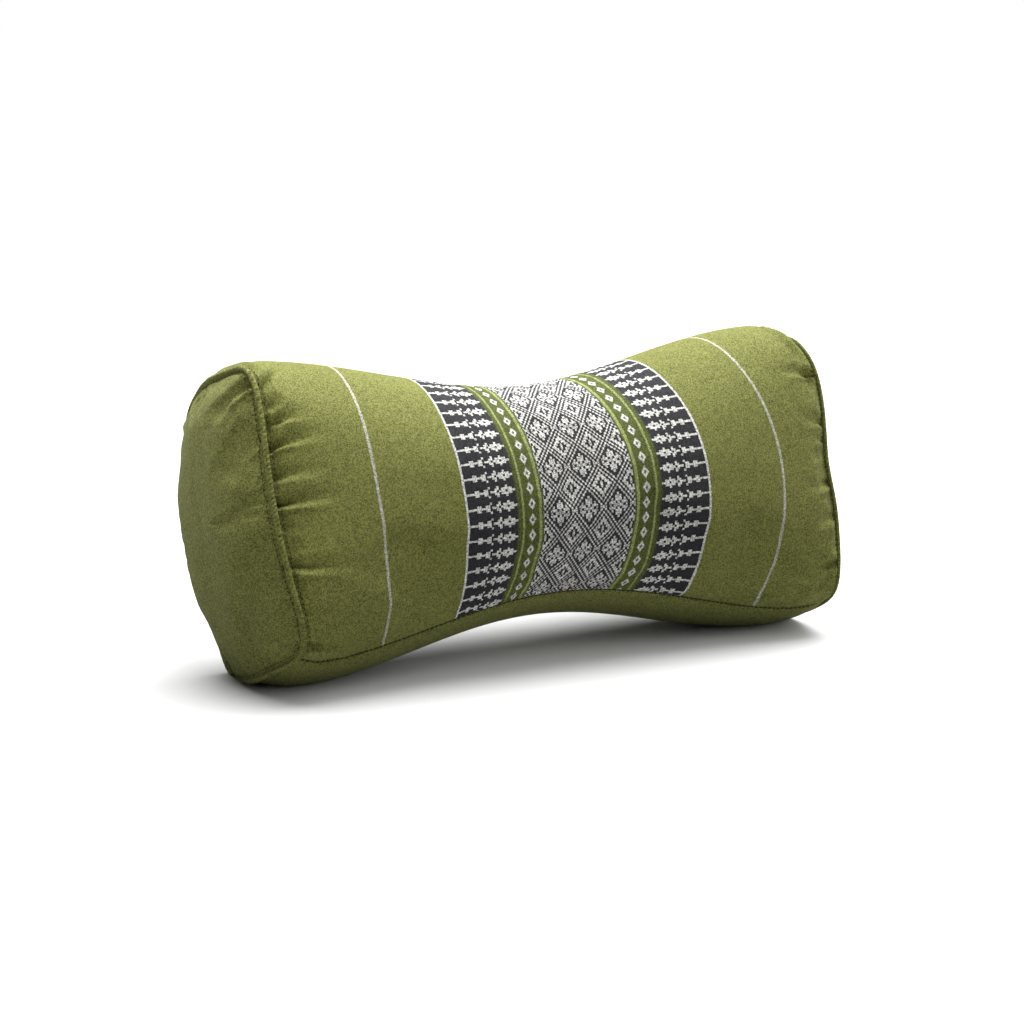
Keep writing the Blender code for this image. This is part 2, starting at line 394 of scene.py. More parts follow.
def build_mesh(name: str, points: np.ndarray, quads: np.ndarray, triangles: np.ndarray) -> bpy.types.Mesh:
    """A mesh from arrays, with its faces turned outwards.

    Args:
        name: The mesh's name.
        points: Places of the points.
        quads: Faces of four corners.
        triangles: Faces of three corners.

    Returns:
        The mesh.
    """
    mesh = bpy.data.meshes.new(name)
    corners = np.concatenate([quads.ravel(), triangles.ravel()]).astype(np.int32)
    quad_starts = np.arange(len(quads)) * 4
    triangle_starts = len(quads) * 4 + np.arange(len(triangles)) * 3
    mesh.vertices.add(len(points))
    mesh.vertices.foreach_set("co", points.astype(np.float32).ravel())
    mesh.loops.add(len(corners))
    mesh.loops.foreach_set("vertex_index", corners)
    mesh.polygons.add(len(quads) + len(triangles))
    mesh.polygons.foreach_set("loop_start", np.concatenate([quad_starts, triangle_starts]).astype(np.int32))
    mesh.update(calc_edges=True)
    mesh.validate()
    work = bmesh.new()
    work.from_mesh(mesh)
    bmesh.ops.recalc_face_normals(work, faces=work.faces)
    work.to_mesh(mesh)
    work.free()
    return mesh


def closed_shell(name: str, rings: np.ndarray, tips: np.ndarray) -> bpy.types.Mesh:
    """A mesh of closed rings of points in order, shut at both ends by a fan to a tip.

    Args:
        name: The mesh's name.
        rings: The rings, with rings, points and X, Y, Z.
        tips: The first and the last tip.

    Returns:
        The mesh, whose points are the rings' in order and then the tips.
    """
    rows, columns = rings.shape[:2]
    flat = rings.reshape(-1, 3)
    starts = (0, (rows - 1) * columns)
    fans = [fan_triangles(start, columns, len(flat) + number) for number, start in enumerate(starts)]
    quads = grid_quads(rows, columns, closed=True)
    return build_mesh(name, np.concatenate([flat, tips]), quads, np.concatenate(fans))


def end_middles(rings: np.ndarray) -> np.ndarray:
    """The middles of the first and the last ring, as tips for a shell with flat ends."""
    return np.stack([rings[0].mean(axis=0), rings[-1].mean(axis=0)])


def add_uv_map(mesh: bpy.types.Mesh, name: str, places: np.ndarray) -> None:
    """Gives a mesh a UV map from a place for each point, and 0 for points after the last place.

    Args:
        mesh: The mesh.
        name: The map's name.
        places: Two numbers for each point, in the mesh's order.
    """
    flat = places.reshape(-1, 2)
    flat = np.concatenate([flat, np.zeros((len(mesh.vertices) - len(flat), 2))])
    corners = np.empty(len(mesh.loops), dtype=np.int32)
    mesh.loops.foreach_get("vertex_index", corners)
    layer = mesh.uv_layers.new(name=name)
    layer.data.foreach_set("uv", flat[corners].astype(np.float32).ravel())


def show(mesh: bpy.types.Mesh, sharp_angle: float, finish: bpy.types.Material) -> bpy.types.Object:
    """An object in the scene for a finished mesh, smooth but for its sharp edges.

    Args:
        mesh: The mesh.
        sharp_angle: Edges that turn more than this are sharp, in degrees.
        finish: The mesh's material.

    Returns:
        The object.
    """
    mesh.shade_smooth()
    mesh.set_sharp_from_angle(angle=math.radians(sharp_angle))
    mesh.materials.append(finish)
    piece = bpy.data.objects.new(mesh.name, mesh)
    bpy.context.scene.collection.objects.link(piece)
    return piece


def blurred(values: np.ndarray, reach: float) -> np.ndarray:
    """A grid of values smoothed by a Gaussian, with its edges repeated outwards.

    Args:
        values: The grid.
        reach: The Gaussian's width, in grid steps.

    Returns:
        The smoothed grid.
    """
    half = int(3 * reach) + 1
    weights = np.exp(-0.5 * (np.arange(-half, half + 1) / reach) ** 2)
    weights /= weights.sum()
    for axis in (0, 1):
        padding = [(0, 0), (0, 0)]
        padding[axis] = (half, half)
        padded = np.pad(values, padding, mode="edge")
        values = np.apply_along_axis(np.convolve, axis, padded, weights, mode="valid")
    return values


@dataclass(frozen=True)
class ClothRelaxation:
    """Blender's cloth, blown up a little on a coarse grid, for the small wrinkles that it makes.

    The seams are held and the cloth is cut slightly larger than its outline, so it gathers
    where it is sewn. The broad swell is taken off again, since the form has it already.
    """

    pressure: float = 4.0
    frames: int = 20
    spare_cloth: float = 0.035
    broad_reach: float = 6.0
    most_move: float = 0.0014

    def wrinkles(self, points: np.ndarray, held: np.ndarray, closed: bool) -> np.ndarray:
        """Heights of the wrinkles that the cloth settles into.

        Args:
            points: A grid of points, with rows, columns and X, Y, Z.
            held: Which of the points are sewn down.
            closed: Whether a row's last point is joined to its first.

        Returns:
            A grid of heights along the surface's normals, in metres.
        """
        rows, columns = held.shape
        quads = grid_quads(rows, columns, closed)
        mesh = build_mesh("relaxing_cloth", points.reshape(-1, 3), quads, np.empty((0, 3), dtype=int))
        cloth_object = bpy.data.objects.new("relaxing_cloth", mesh)
        scene = bpy.context.scene
        scene.collection.objects.link(cloth_object)
        sewn = cloth_object.vertex_groups.new(name="sewn")
        sewn.add(np.flatnonzero(held.ravel()).tolist(), 1.0, "REPLACE")
        self._dress_as_cloth(cloth_object)
        for number in range(1, self.frames + 1):
            scene.frame_set(number)
        settled = cloth_object.evaluated_get(bpy.context.evaluated_depsgraph_get()).data
        places = np.empty(rows * columns * 3, dtype=np.float32)
        settled.vertices.foreach_get("co", places)
        normals = np.empty(rows * columns * 3, dtype=np.float32)
        mesh.vertex_normals.foreach_get("vector", normals)
        moved = places.reshape(-1, 3) - points.reshape(-1, 3)
        heights = (moved * normals.reshape(-1, 3)).sum(axis=1).reshape(rows, columns)
        scene.frame_set(1)
        bpy.data.objects.remove(cloth_object, do_unlink=True)
        fine = heights - blurred(heights, self.broad_reach)
        log.info("cloth settled: swell %.1f mm, wrinkles %.2f mm", heights.max() * 1e3, fine.std() * 1e3)
        return np.clip(fine, -self.most_move, self.most_move)

    def _dress_as_cloth(self, cloth_object: bpy.types.Object) -> None:
        """Gives an object the cloth modifier, stiff thin cotton held at its seams."""
        modifier = cloth_object.modifiers.new("cloth", "CLOTH")
        modifier.point_cache.frame_start = 1
        modifier.point_cache.frame_end = self.frames
        modifier.collision_settings.use_collision = False
        settings = modifier.settings
        settings.quality = 8
        settings.mass = 0.2
        settings.tension_stiffness = 20
        settings.compression_stiffness = 20
        settings.shear_stiffness = 8
        settings.bending_stiffness = 0.05
        settings.use_pressure = True
        settings.uniform_pressure_force = self.pressure
        settings.effector_weights.gravity = 0
        settings.shrink_min = -self.spare_cloth
        settings.vertex_group_mass = "sewn"


def resampled(
    values: np.ndarray, old_axes: tuple, new_axes: tuple, softening: float = 1.2
) -> np.ndarray:
    """A coarse grid of values read at the places of a finer grid, and softened between them.

    Args:
        values: The coarse grid.
        old_axes: Its rows' and its columns' places.
        new_axes: The finer grid's rows' and columns' places.
        softening: Reach of the softening, in steps of the finer grid.

    Returns:
        The finer grid of values.
    """
    by_row = np.stack([np.interp(new_axes[0], old_axes[0], line) for line in values.T], axis=1)
    by_both = np.stack([np.interp(new_axes[1], old_axes[1], line) for line in by_row])
    return blurred(by_both, softening)


def linear(code: str) -> tuple:
    """A colour as Blender mixes it, from six hexadecimal digits as a screen shows it."""
    shown = [int(code[place : place + 2], 16) / 255 for place in (0, 2, 4)]
    return (*(c / 12.92 if c <= 0.04045 else ((c + 0.055) / 1.055) ** 2.4 for c in shown), 1.0)


class NodeBoard:
    """A node tree with short calls that add a node and give back the socket that it puts out."""

    def __init__(self, tree: bpy.types.NodeTree) -> None:
        """Keeps the tree that the nodes go into."""
        self.tree = tree

    def add(self, kind: str, inputs: dict | None = None, **settings: object) -> bpy.types.Node:
        """Adds a node.

        Args:
            kind: The node's type.
            inputs: A value or a socket for each input, by the input's name or number.
            **settings: The node's own properties.

        Returns:
            The node.
        """
        node = self.tree.nodes.new(kind)
        for name, value in settings.items():
            setattr(node, name, value)
        for name, value in (inputs or {}).items():
            self.feed(node.inputs[name], value)
        return node

    def feed(self, socket: bpy.types.NodeSocket, value: object) -> None:
        """Sets an input to a plain value, or links a socket to it."""
        if isinstance(value, bpy.types.NodeSocket):
            self.tree.links.new(value, socket)
        else:
            socket.default_value = value

    def math(self, operation: str, *values: object, clamp: bool = False) -> bpy.types.NodeSocket:
        """The result of a sum on one to three values or sockets."""
        node = self.add("ShaderNodeMath", dict(enumerate(values)), operation=operation, use_clamp=clamp)
        return node.outputs[0]

    def mix(self, share: object, first: object, second: object) -> bpy.types.NodeSocket:
        """Mixes two colours.

        Args:
            share: How much of the second colour there is, from 0 to 1.
            first: The first colour.
            second: The second colour.

        Returns:
            The mixed colour.
        """
        node = self.add("ShaderNodeMix", data_type="RGBA")
        for place, value in ((0, share), (6, first), (7, second)):
            self.feed(node.inputs[place], value)
        return node.outputs[2]

    def scaled(self, colour: object, share: object) -> bpy.types.NodeSocket:
        """A colour, plain or from a socket, made lighter or darker by a share."""
        plain = colour[:3] if isinstance(colour, tuple) else colour
        return self.add("ShaderNodeVectorMath", {0: plain, "Scale": share}, operation="SCALE").outputs[0]

    def strayed(self, place: object, scale: float, detail: float, most: float) -> tuple:
        """A place moved a little at random, by smooth noise less its mean.

        Args:
            place: The place, as a vector's socket.
            scale: The noise's scale.
            detail: The noise's finer detail.
            most: Twice the most that it moves.

        Returns:
            The moved place's X and Y.
        """
        wander = self.noise(place, scale, detail, "Color")
        off = self.add("ShaderNodeVectorMath", {0: wander, 1: (0.5, 0.5, 0.5)}, operation="SUBTRACT")
        moved = {0: place, 1: self.scaled(off.outputs[0], most)}
        split = self.add("ShaderNodeSeparateXYZ", {0: self.add("ShaderNodeVectorMath", moved).outputs[0]})
        return split.outputs[0], split.outputs[1]

    def between(self, value: object, low: float, high: float, soft: float) -> bpy.types.NodeSocket:
        """A mask of where a value is between two limits.

        Args:
            value: The value.
            low: The lower limit.
            high: The upper limit.
            soft: Width of the soft edge at each limit.

        Returns:
            1 between the limits, falling to 0 outside them.
        """
        up = self.math("DIVIDE", self.math("SUBTRACT", value, low), soft)
        rising = self.math("ADD", up, 0.5, clamp=True)
        down = self.math("DIVIDE", self.math("SUBTRACT", high, value), soft)
        return self.math("MULTIPLY", rising, self.math("ADD", down, 0.5, clamp=True))

    def noise(self, vector: object, scale: float, detail: float, output: str = "Fac") -> bpy.types.NodeSocket:
        """Smooth noise at a scale, with finer detail."""
        node = self.add("ShaderNodeTexNoise", {"Vector": vector, "Scale": scale, "Detail": detail})
        return node.outputs[output]


def chart_ramp(board: NodeBoard, place: bpy.types.NodeSocket, chart: str) -> bpy.types.NodeSocket:
    """Reads one row of a woven chart: 1 for '#', less for 'o' and '+', and 0 for '.'.

    Args:
        board: Where the nodes go.
        place: Number of the stitch, from 0 at the row's first.
        chart: The row, one letter a stitch.

    Returns:
        The lightness of the stitch.
    """
    lights = {"#": 1.0, "o": 0.6, "+": 0.5, ".": 0.0}
    share = board.math("DIVIDE", board.math("ADD", place, 0.5), float(len(chart)))
    node = board.add("ShaderNodeValToRGB", {"Fac": share})
    stops = node.color_ramp.elements
    node.color_ramp.interpolation = "CONSTANT"
    starts = [0] + [at for at in range(1, len(chart)) if chart[at] != chart[at - 1]]
    stops.remove(stops[-1])
    for number, at in enumerate(starts):
        stop = stops[0] if number == 0 else stops.new(at / len(chart))
        stop.position = at / len(chart)
        light = lights[chart[at]]
        stop.color = (light, light, light, 1.0)
    return node.outputs["Color"]


def chart_lightness(board: NodeBoard, column: object, row: object, rows: tuple) -> bpy.types.NodeSocket:
    """Reads a woven chart, whose first row is its middle one and mirrors up and down.

    Args:
        board: Where the nodes go.
        column: Number of the stitch in the row.
        row: Way from the middle row, in stitches, never below zero.
        rows: The chart's rows, from the middle one outwards.

    Returns:
        The lightness of the stitch, and 0 outside the chart.
    """
    total = 0.0
    for number, chart in enumerate(rows):
        here = board.math("COMPARE", row, float(number), 0.5)
        total = board.math("MULTIPLY_ADD", here, chart_ramp(board, column, chart), total)
    return total


@dataclass(frozen=True)
class PlainWeave:
    """The shared weave: plain over-and-under threads with uneven thickness.

    A thread's roundness is one minus the square of the way from its middle. Warp and weft
    stand high in turn, by whether the sum of their numbers is odd. Long noise along each
    thread makes slubs, and fine noise makes fuzz. High thread is painted lighter: a painted
    highlight on the tops of the threads.
    """

    stray_scale: float = 0.45
    stray_most: float = 0.35  # millimetres, there and back
    roundness: float = 3.2
    slub_scale: float = 0.22  # of the noise along a thread
    thread_step: float = 0.731  # in the slubs' noise, from one thread to the next
    weft_shift: float = 7.0  # in the slubs' noise, from the warp to the weft
    fuzz_scale: float = 2.3
    fuzz: float = 1.6  # against the crossings' own unevenness
    slub_height: float = 0.8
    slub_shade: float = 0.5
    grain_height: float = 0.6
    usual_height: float = 0.7
    painted_top_light: float = 0.4  # painted highlight: how much lighter the colour of high thread is made

    def group(self) -> bpy.types.NodeTree:
        """Builds the node group.

        Returns:
            The group, with inputs Place, Threads, Slubs and Grain, and outputs Height and Shade.
        """
        group = bpy.data.node_groups.new("plain_weave", "ShaderNodeTree")
        sockets = [("Place", "INPUT", "NodeSocketVector")]
        sockets += [(name, "INPUT", "NodeSocketFloat") for name in ("Threads", "Slubs", "Grain")]
        sockets += [(name, "OUTPUT", "NodeSocketFloat") for name in ("Height", "Shade")]
        for name, way, kind in sockets:
            group.interface.new_socket(name, in_out=way, socket_type=kind)
        board = NodeBoard(group)
        given = board.add("NodeGroupInput").outputs
        numbers, rounds, slubs = self._threads(board, given["Place"], given["Threads"])
        odd = board.math("FRACT", board.math("MULTIPLY", board.math("ADD", *numbers), 0.5))
        odd = board.math("GREATER_THAN", odd, 0.25)
        warp = board.math("MULTIPLY", rounds[0], board.math("MULTIPLY_ADD", odd, 0.5, 0.5))
        weft = board.math("MULTIPLY", rounds[1], board.math("MULTIPLY_ADD", odd, -0.5, 1.0))
        height = board.math("MAXIMUM", warp, weft)
        uneven = board.math("SUBTRACT", board.math("ADD", *slubs), 1.0)
        uneven = board.math("MULTIPLY", uneven, given["Slubs"])
        grain = board.math("MULTIPLY", self._grain(board, given["Place"], numbers), given["Grain"])
        raised = board.math("MULTIPLY_ADD", uneven, self.slub_height, height)
        raised = board.math("ADD", raised, board.math("MULTIPLY", grain, self.grain_height))
        # Painted highlight: high thread is made lighter in colour; the slubs and the grain add tone that
        # varies at random.
        over = board.math("SUBTRACT", height, self.usual_height)
        shade = board.math("MULTIPLY_ADD", over, self.painted_top_light, 1.0)
        shade = board.math("ADD", board.math("MULTIPLY_ADD", uneven, self.slub_shade, shade), grain)
        board.add("NodeGroupOutput", {"Height": raised, "Shade": shade})
        return group

    def _threads(self, board: NodeBoard, place: object, threads: object) -> tuple:
        """Which thread a place is on, in the warp and in the weft.

        Args:
            board: Where the nodes go.
            place: Millimetres of cloth.
            threads: Threads in a millimetre.

        Returns:
            Pairs of the threads' numbers, their roundness there and their slubs.
        """
        strayed = board.strayed(place, self.stray_scale, 2.0, self.stray_most)
        numbers, rounds, slubs = [], [], []
        for axis, shift in enumerate((0.0, self.weft_shift)):
            along = board.math("MULTIPLY", strayed[axis], threads)
            number = board.math("FLOOR", along)
            off_middle = board.math("SUBTRACT", board.math("SUBTRACT", along, number), 0.5)
            squared = board.math("MULTIPLY", off_middle, off_middle)
            rounds.append(board.math("MULTIPLY_ADD", squared, -self.roundness, 1.0))
            numbers.append(number)
            step = board.math("MULTIPLY", number, self.thread_step)
            other = board.math("MULTIPLY", strayed[1 - axis], self.slub_scale)
            strand = board.add("ShaderNodeCombineXYZ", {0: step, 1: other, 2: shift})
            slubs.append(board.noise(strand.outputs[0], 1.0, 1.0))
        return numbers, rounds, slubs

    def _grain(self, board: NodeBoard, place: object, numbers: list) -> bpy.types.NodeSocket:
        """Unevenness of each crossing of two threads, and the fuzz over them.

        Args:
            board: Where the nodes go.
            place: Millimetres of cloth.
            numbers: The two threads' numbers.

        Returns:
            The grain, about 0.
        """
        crossing = board.add("ShaderNodeCombineXYZ", dict(enumerate(numbers))).outputs[0]
        random = board.add("ShaderNodeTexWhiteNoise", {"Vector": crossing}, noise_dimensions="2D")
        fuzz = board.math("SUBTRACT", board.noise(place, self.fuzz_scale, 2.0), 0.5)
        grain = board.math("SUBTRACT", random.outputs["Value"], 0.5)
        return board.math("MULTIPLY_ADD", fuzz, self.fuzz, grain)


@dataclass(frozen=True)
class ClothFinish:
    """Plain woven cotton: its colour, and how coarse and uneven its threads are."""

    name: str
    colour: str
    threads: float = 2.05  # in a millimetre
    slubs: float = 0.45
    grain: float = 1.0
    gloss: float = 0.15
    sheen: float = 0.05
    sheen_roughness: float = 0.5
    foot_roughness: float = 0.96
    roughness_fall: float = 0.12  # from a thread's foot to its top
    relief: float = 0.00012
    dye_scale: float = 22.0
    dye_change: float = 0.16

    def material(self, weave: bpy.types.NodeTree) -> bpy.types.Material:
        """The finish as a material.

        Args:
            weave: The shared weave group.

        Returns:
            The material.
        """
        material, board, shader = self._start()
        shade, height = self._weave(board, weave)
        self._finish(board, shader, self._dyed(board, self.colour), shade, height)
        return material

    def _start(self) -> tuple:
        """Starts a material, with the constants set on its shader.

        Returns:
            The material, its node board and its shader.
        """
        material = bpy.data.materials.new(self.name)
        material.use_nodes = True
        board = NodeBoard(material.node_tree)
        shader = material.node_tree.nodes["Principled BSDF"]
        shader.inputs["Specular IOR Level"].default_value = self.gloss
        shader.inputs["Sheen Weight"].default_value = self.sheen
        shader.inputs["Sheen Roughness"].default_value = self.sheen_roughness
        material.diffuse_color = linear(self.colour)
        return material, board, shader

    def _weave(self, board: NodeBoard, weave: bpy.types.NodeTree) -> tuple:
        """Places the weave on the cloth's own millimetres.

        Args:
            board: Where the nodes go.
            weave: The shared weave group.

        Returns:
            The weave's shade and height.
        """
        place = board.add("ShaderNodeUVMap", uv_map=WEAVE_MAP).outputs[0]
        threads = board.add("ShaderNodeGroup", node_tree=weave)
        given = {"Place": place, "Threads": self.threads, "Slubs": self.slubs, "Grain": self.grain}
        for name, value in given.items():
            board.feed(threads.inputs[name], value)
        return threads.outputs["Shade"], threads.outputs["Height"]

    def _dyed(self, board: NodeBoard, code: str) -> bpy.types.NodeSocket:
        """A dyed thread's colour, with broad and faint changes on Object coordinates.

        Args:
            board: Where the nodes go.
            code: The colour's six hexadecimal digits.

        Returns:
            The colour.
        """
        place = board.add("ShaderNodeTexCoord").outputs["Object"]
        broad = board.noise(place, self.dye_scale, 2.0)
        change = board.math("MULTIPLY_ADD", broad, self.dye_change, 1 - self.dye_change / 2)
        return board.scaled(linear(code), change)

    def _finish(
        self, board: NodeBoard, shader: object, tint: object, shade: object, height: object
    ) -> None:
        """Feeds the shader its colour, roughness and relief.

        Args:
            board: Where the nodes go.
            shader: The material's shader.
            tint: The thread's colour.
            shade: The weave's shade, which the colour is multiplied by.
            height: The weave's height.
        """
        board.feed(shader.inputs["Base Color"], board.scaled(tint, shade))
        roughness = board.math("MULTIPLY_ADD", height, -self.roughness_fall, self.foot_roughness)
        board.feed(shader.inputs["Roughness"], roughness)
        bump = board.add("ShaderNodeBump", {"Strength": 1.0, "Distance": self.relief, "Height": height})
        board.feed(shader.inputs["Normal"], bump.outputs[0])


@dataclass(frozen=True)
class BandFinish(ClothFinish):
    """The patterned cloth: plain green ends, thin lines, and a woven band round the waist.

    Places are millimetres of cloth from the band's middle, alike to both sides. A stripe is
    given by where it starts, where it ends and how soft its edges are. A stitch is one woven
    cell. Charts are read from the middle of a motif outwards.
    """

    light_thread: str = "DCDBD5"
    dark_thread: str = "353538"
    olive: str = "59612F"
    line_green: str = "98A364"
    stitch_width: float = 1.08
    lattice_stitch: tuple = (1.065, 1.343)  # across and up
    row_stitch_height: float = 1.043
    lattice_middle: tuple = (-0.3, 6.6)  # where a flower stands: across, and above the front's middle
    lattice_figure: tuple = (-1.0, 23.5, 0.2)
    lattice_ground: tuple = (-1.0, 23.5, 0.3)
    inner_line: tuple = (24.4, 25.9, 0.4)
    diamond_middle: tuple = (29.7, 5.9)
    diamond_half: tuple = (2.0, 3.0)
    diamond_outline: tuple = (0.36, 0.98, 0.28)  # as shares of the way from its middle to its edge
    outer_line: tuple = (34.0, 35.1, 0.5)
    beyond_olive: tuple = (37.3, 99.0, 1.2)
    fringe: tuple = (37.4, 61.8, 0.1)
    whole_band: tuple = (-1.0, 61.8, 0.25)
    border: tuple = (61.8, 62.9, 0.25)
    end_line: tuple = (102.5, 103.8, 0.4)
    end_line_share: float = 0.58
    motif_row: float = 6.45
    flower_repeat: tuple = (14, 16)  # stitches across and up
    row_repeat: int = 7
    stitch_slack: float = 0.1  # ground that shows round a full stitch
    stitch_crispness: float = 4.0
    bead_narrowing: float = 0.6  # of a stitch along its slanting line
    line_narrowing: float = 0.25  # of a stitch across its slanting line
    figure_height: float = 0.9  # that the figure stands over the plain weave
    stray_scale: float = 0.9
    stray_most: float = 0.55  # millimetres, there and back
    # A quarter of the lattice, from a flower's middle to the middle of a diamond within a diamond
    lattice_chart: tuple = (
        "+#+.+.+#",
        "#.##+.o.",
        "##.o.o.o",
        "+#..o.o.",
        "#..o.o.#",
        "..o.o.##",
        ".o.o.o#.",
        "o.o.o#.+",
        ".o.o#..#",
    )
    # The tapering motif beside the band's edge, from its stem to its open head
    fringe_chart: tuple = (
        "##########.###.###.###",
        "....##..##...##.#####.",
        "..........#...#...#...",
    )

    def material(self, weave: bpy.types.NodeTree) -> bpy.types.Material:
        """The finish as a material.

        Args:
            weave: The shared weave group.

        Returns:
            The material.
        """
        material, board, shader = self._start()
        shade, height = self._weave(board, weave)
        cloth = board.add("ShaderNodeUVMap", uv_map=PATTERN_MAP).outputs[0]
        across, along = board.strayed(cloth, self.stray_scale, 1.0, self.stray_most)
        out = board.math("ABSOLUTE", across)
        light, dark = linear(self.light_thread), linear(self.dark_thread)
        in_end_line = board.math("MULTIPLY", board.between(out, *self.end_line), self.end_line_share)
        in_light = board.math("MAXIMUM", board.between(out, *self.border), in_end_line)
        colour = board.mix(in_light, self._dyed(board, self.colour), light)
        ground = board.mix(board.between(out, *self.beyond_olive), self._dyed(board, self.olive), dark)
        ground = board.mix(board.between(out, *self.lattice_ground), ground, dark)
        figure = board.math("ADD", self._lattice(board, across, along, out), self._fringe(board, along, out))
        figure = board.math("ADD", figure, self._diamonds(board, along, out), clamp=True)
        lines = [board.between(out, *line) for line in (self.inner_line, self.outer_line)]
        in_lines = board.math("MAXIMUM", *lines)
        band = board.mix(in_lines, board.mix(figure, ground, light), linear(self.line_green))
        colour = board.mix(board.between(out, *self.whole_band), colour, band)
        raised = board.math("MAXIMUM", figure, in_lines)
        high = board.math("MULTIPLY_ADD", raised, self.figure_height, height)
        self._finish(board, shader, colour, shade, high)
        return material

    def _folded(self, board: NodeBoard, place: object, middle: float, stitch: float, repeat: int) -> tuple:
        """Whole stitches out from the nearest motif's middle, and the way on from that stitch's middle.

        Args:
            board: Where the nodes go.
            place: Millimetres of cloth.
            middle: Where one motif's middle is.
            stitch: Size of a stitch.
            repeat: Stitches from one motif to the next.

        Returns:
            Both numbers' sockets.
        """
        counted = board.math("DIVIDE", board.math("SUBTRACT", place, middle), stitch)
        turned = board.math("ABSOLUTE", board.math("WRAP", counted, repeat / 2, -repeat / 2))
        whole = board.math("ROUND", turned)
        return whole, board.math("SUBTRACT", turned, whole)

    def _lattice(self, board: NodeBoard, across: object, along: object, out: object) -> object:
        """Lightness of the flowers in their lattice.

        A chart's smaller stitches shrink to beads, which join along the slanting lines: what a
        bead loses is a share of the way out on one diagonal and a smaller share on the other.

        Args:
            board: Where the nodes go.
            across: Millimetres across the band.
            along: Millimetres along the band.
            out: Millimetres from the band's middle, to either side.

        Returns:
            The lightness.
        """
        axes = zip((across, along), self.lattice_middle, self.lattice_stitch, self.flower_repeat)
        (column, off_column), (row, off_row) = [self._folded(board, *axis) for axis in axes]
        light = chart_lightness(board, column, row, self.lattice_chart)
        size = board.math("SUBTRACT", light, self.stitch_slack)
        off_bead = board.math("ABSOLUTE", board.math("ADD", off_column, off_row))
        lost = board.math("MULTIPLY", off_bead, self.bead_narrowing)
        off_line = board.math("ABSOLUTE", board.math("SUBTRACT", off_column, off_row))
        lost = board.math("MULTIPLY_ADD", off_line, self.line_narrowing, lost)
        stitch = board.math("MULTIPLY", board.math("SUBTRACT", size, lost), self.stitch_crispness, clamp=True)
        return board.math("MULTIPLY", board.between(out, *self.lattice_figure), stitch)

    def _fringe(self, board: NodeBoard, along: object, out: object) -> object:
        """Lightness of the tapering motifs, whose charts start at the band's edge.

        Args:
            board: Where the nodes go.
            along: Millimetres along the band.
            out: Millimetres from the band's middle, to either side.

        Returns:
            The lightness.
        """
        column = board.math("DIVIDE", board.math("SUBTRACT", self.border[0], out), self.stitch_width)
        column = board.math("SUBTRACT", column, 0.5)
        row, _ = self._folded(board, along, self.motif_row, self.row_stitch_height, self.row_repeat)
        figure = chart_lightness(board, column, row, self.fringe_chart)
        return board.math("MULTIPLY", board.between(out, *self.fringe), figure)

    def _diamonds(self, board: NodeBoard, along: object, out: object) -> object:
        """Lightness of the row of open diamonds: the sum of both ways from a middle, as shares.

        Args:
            board: Where the nodes go.
            along: Millimetres along the band.
            out: Millimetres from the band's middle, to either side.

        Returns:
            The lightness.
        """
        pitch = self.row_stitch_height * self.row_repeat
        up = board.math("WRAP", board.math("SUBTRACT", along, self.diamond_middle[1]), pitch / 2, -pitch / 2)
        side = board.math("SUBTRACT", out, self.diamond_middle[0])
        ways = zip((side, up), self.diamond_half)
        shares = [board.math("DIVIDE", board.math("ABSOLUTE", way), half) for way, half in ways]
        return board.between(board.math("ADD", *shares), *self.diamond_outline)


@dataclass(frozen=True)
class ThreadFinish:
    """Sewing thread, twisted and a little glossy."""

    name: str
    colour: str
    twist_scale: float = 700.0
    twist_distortion: float = 2.0
    # painted shade: share of the colour left at a strand's foot, in the twist's grooves
    painted_twist_shade: float = 0.8
    painted_twist_highlight: float = 0.35  # painted highlight: how much lighter the colour is made from a strand's foot to its top
    foot_roughness: float = 0.75
    roughness_fall: float = 0.15
    relief: float = 0.0001

    def material(self) -> bpy.types.Material:
        """The finish as a material, with its twist as fine bands on Object coordinates: bumps,
        roughness, a painted shade at each strand's foot and a painted highlight at its top.

        Returns:
            The material.
        """
        material = bpy.data.materials.new(self.name)
        material.use_nodes = True
        board = NodeBoard(material.node_tree)
        shader = material.node_tree.nodes["Principled BSDF"]
        place = board.add("ShaderNodeTexCoord").outputs["Object"]
        look = {"Vector": place, "Scale": self.twist_scale, "Distortion": self.twist_distortion}
        twist = board.add("ShaderNodeTexWave", look).outputs["Fac"]
        # Painted shade and highlight: the colour is darker at a strand's foot and lighter at its top.
        change = board.math("MULTIPLY_ADD", twist, self.painted_twist_highlight, self.painted_twist_shade)
        board.feed(shader.inputs["Base Color"], board.scaled(linear(self.colour), change))
        roughness = board.math("MULTIPLY_ADD", twist, -self.roughness_fall, self.foot_roughness)
        board.feed(shader.inputs["Roughness"], roughness)
        bump = board.add("ShaderNodeBump", {"Distance": self.relief, "Height": twist})
        board.feed(shader.inputs["Normal"], bump.outputs[0])
        material.diffuse_color = linear(self.colour)
        return material


FORM = StuffedForm()
RELAXATION = ClothRelaxation()

FRONT_LEFT = (
    Crease(angle=95, length=0.050, width=0.0260, depth=-0.0011, shoulder=0, steepness=1),
    Crease(angle=51, length=0.022, width=0.0023, depth=0.0076, drift=14, shoulder=0.2, steepness=3),
    Crease(angle=44, length=0.016, width=0.0028, depth=0.0024),
    Crease(angle=37.4, length=0.025, width=0.0028, depth=0.0036, drift=1, steepness=2.2),
    Crease(angle=27.5, length=0.032, width=0.0032, depth=0.0038, drift=3, steepness=2.2),
    Crease(angle=13.3, length=0.027, width=0.0030, depth=0.0024, drift=1),
    Crease(angle=-1, length=0.034, width=0.0034, depth=0.0038, drift=2, steepness=2.2),
    Crease(angle=-14, length=0.020, width=0.0026, depth=0.0008),
    Crease(angle=-31.5, length=0.036, width=0.0030, depth=0.0034, drift=1, steepness=2.2),
    Crease(angle=-48, length=0.018, width=0.0030, depth=0.0009),
    Crease(angle=-59, length=0.026, width=0.0028, depth=0.0046, drift=-1, shoulder=0.2),
)
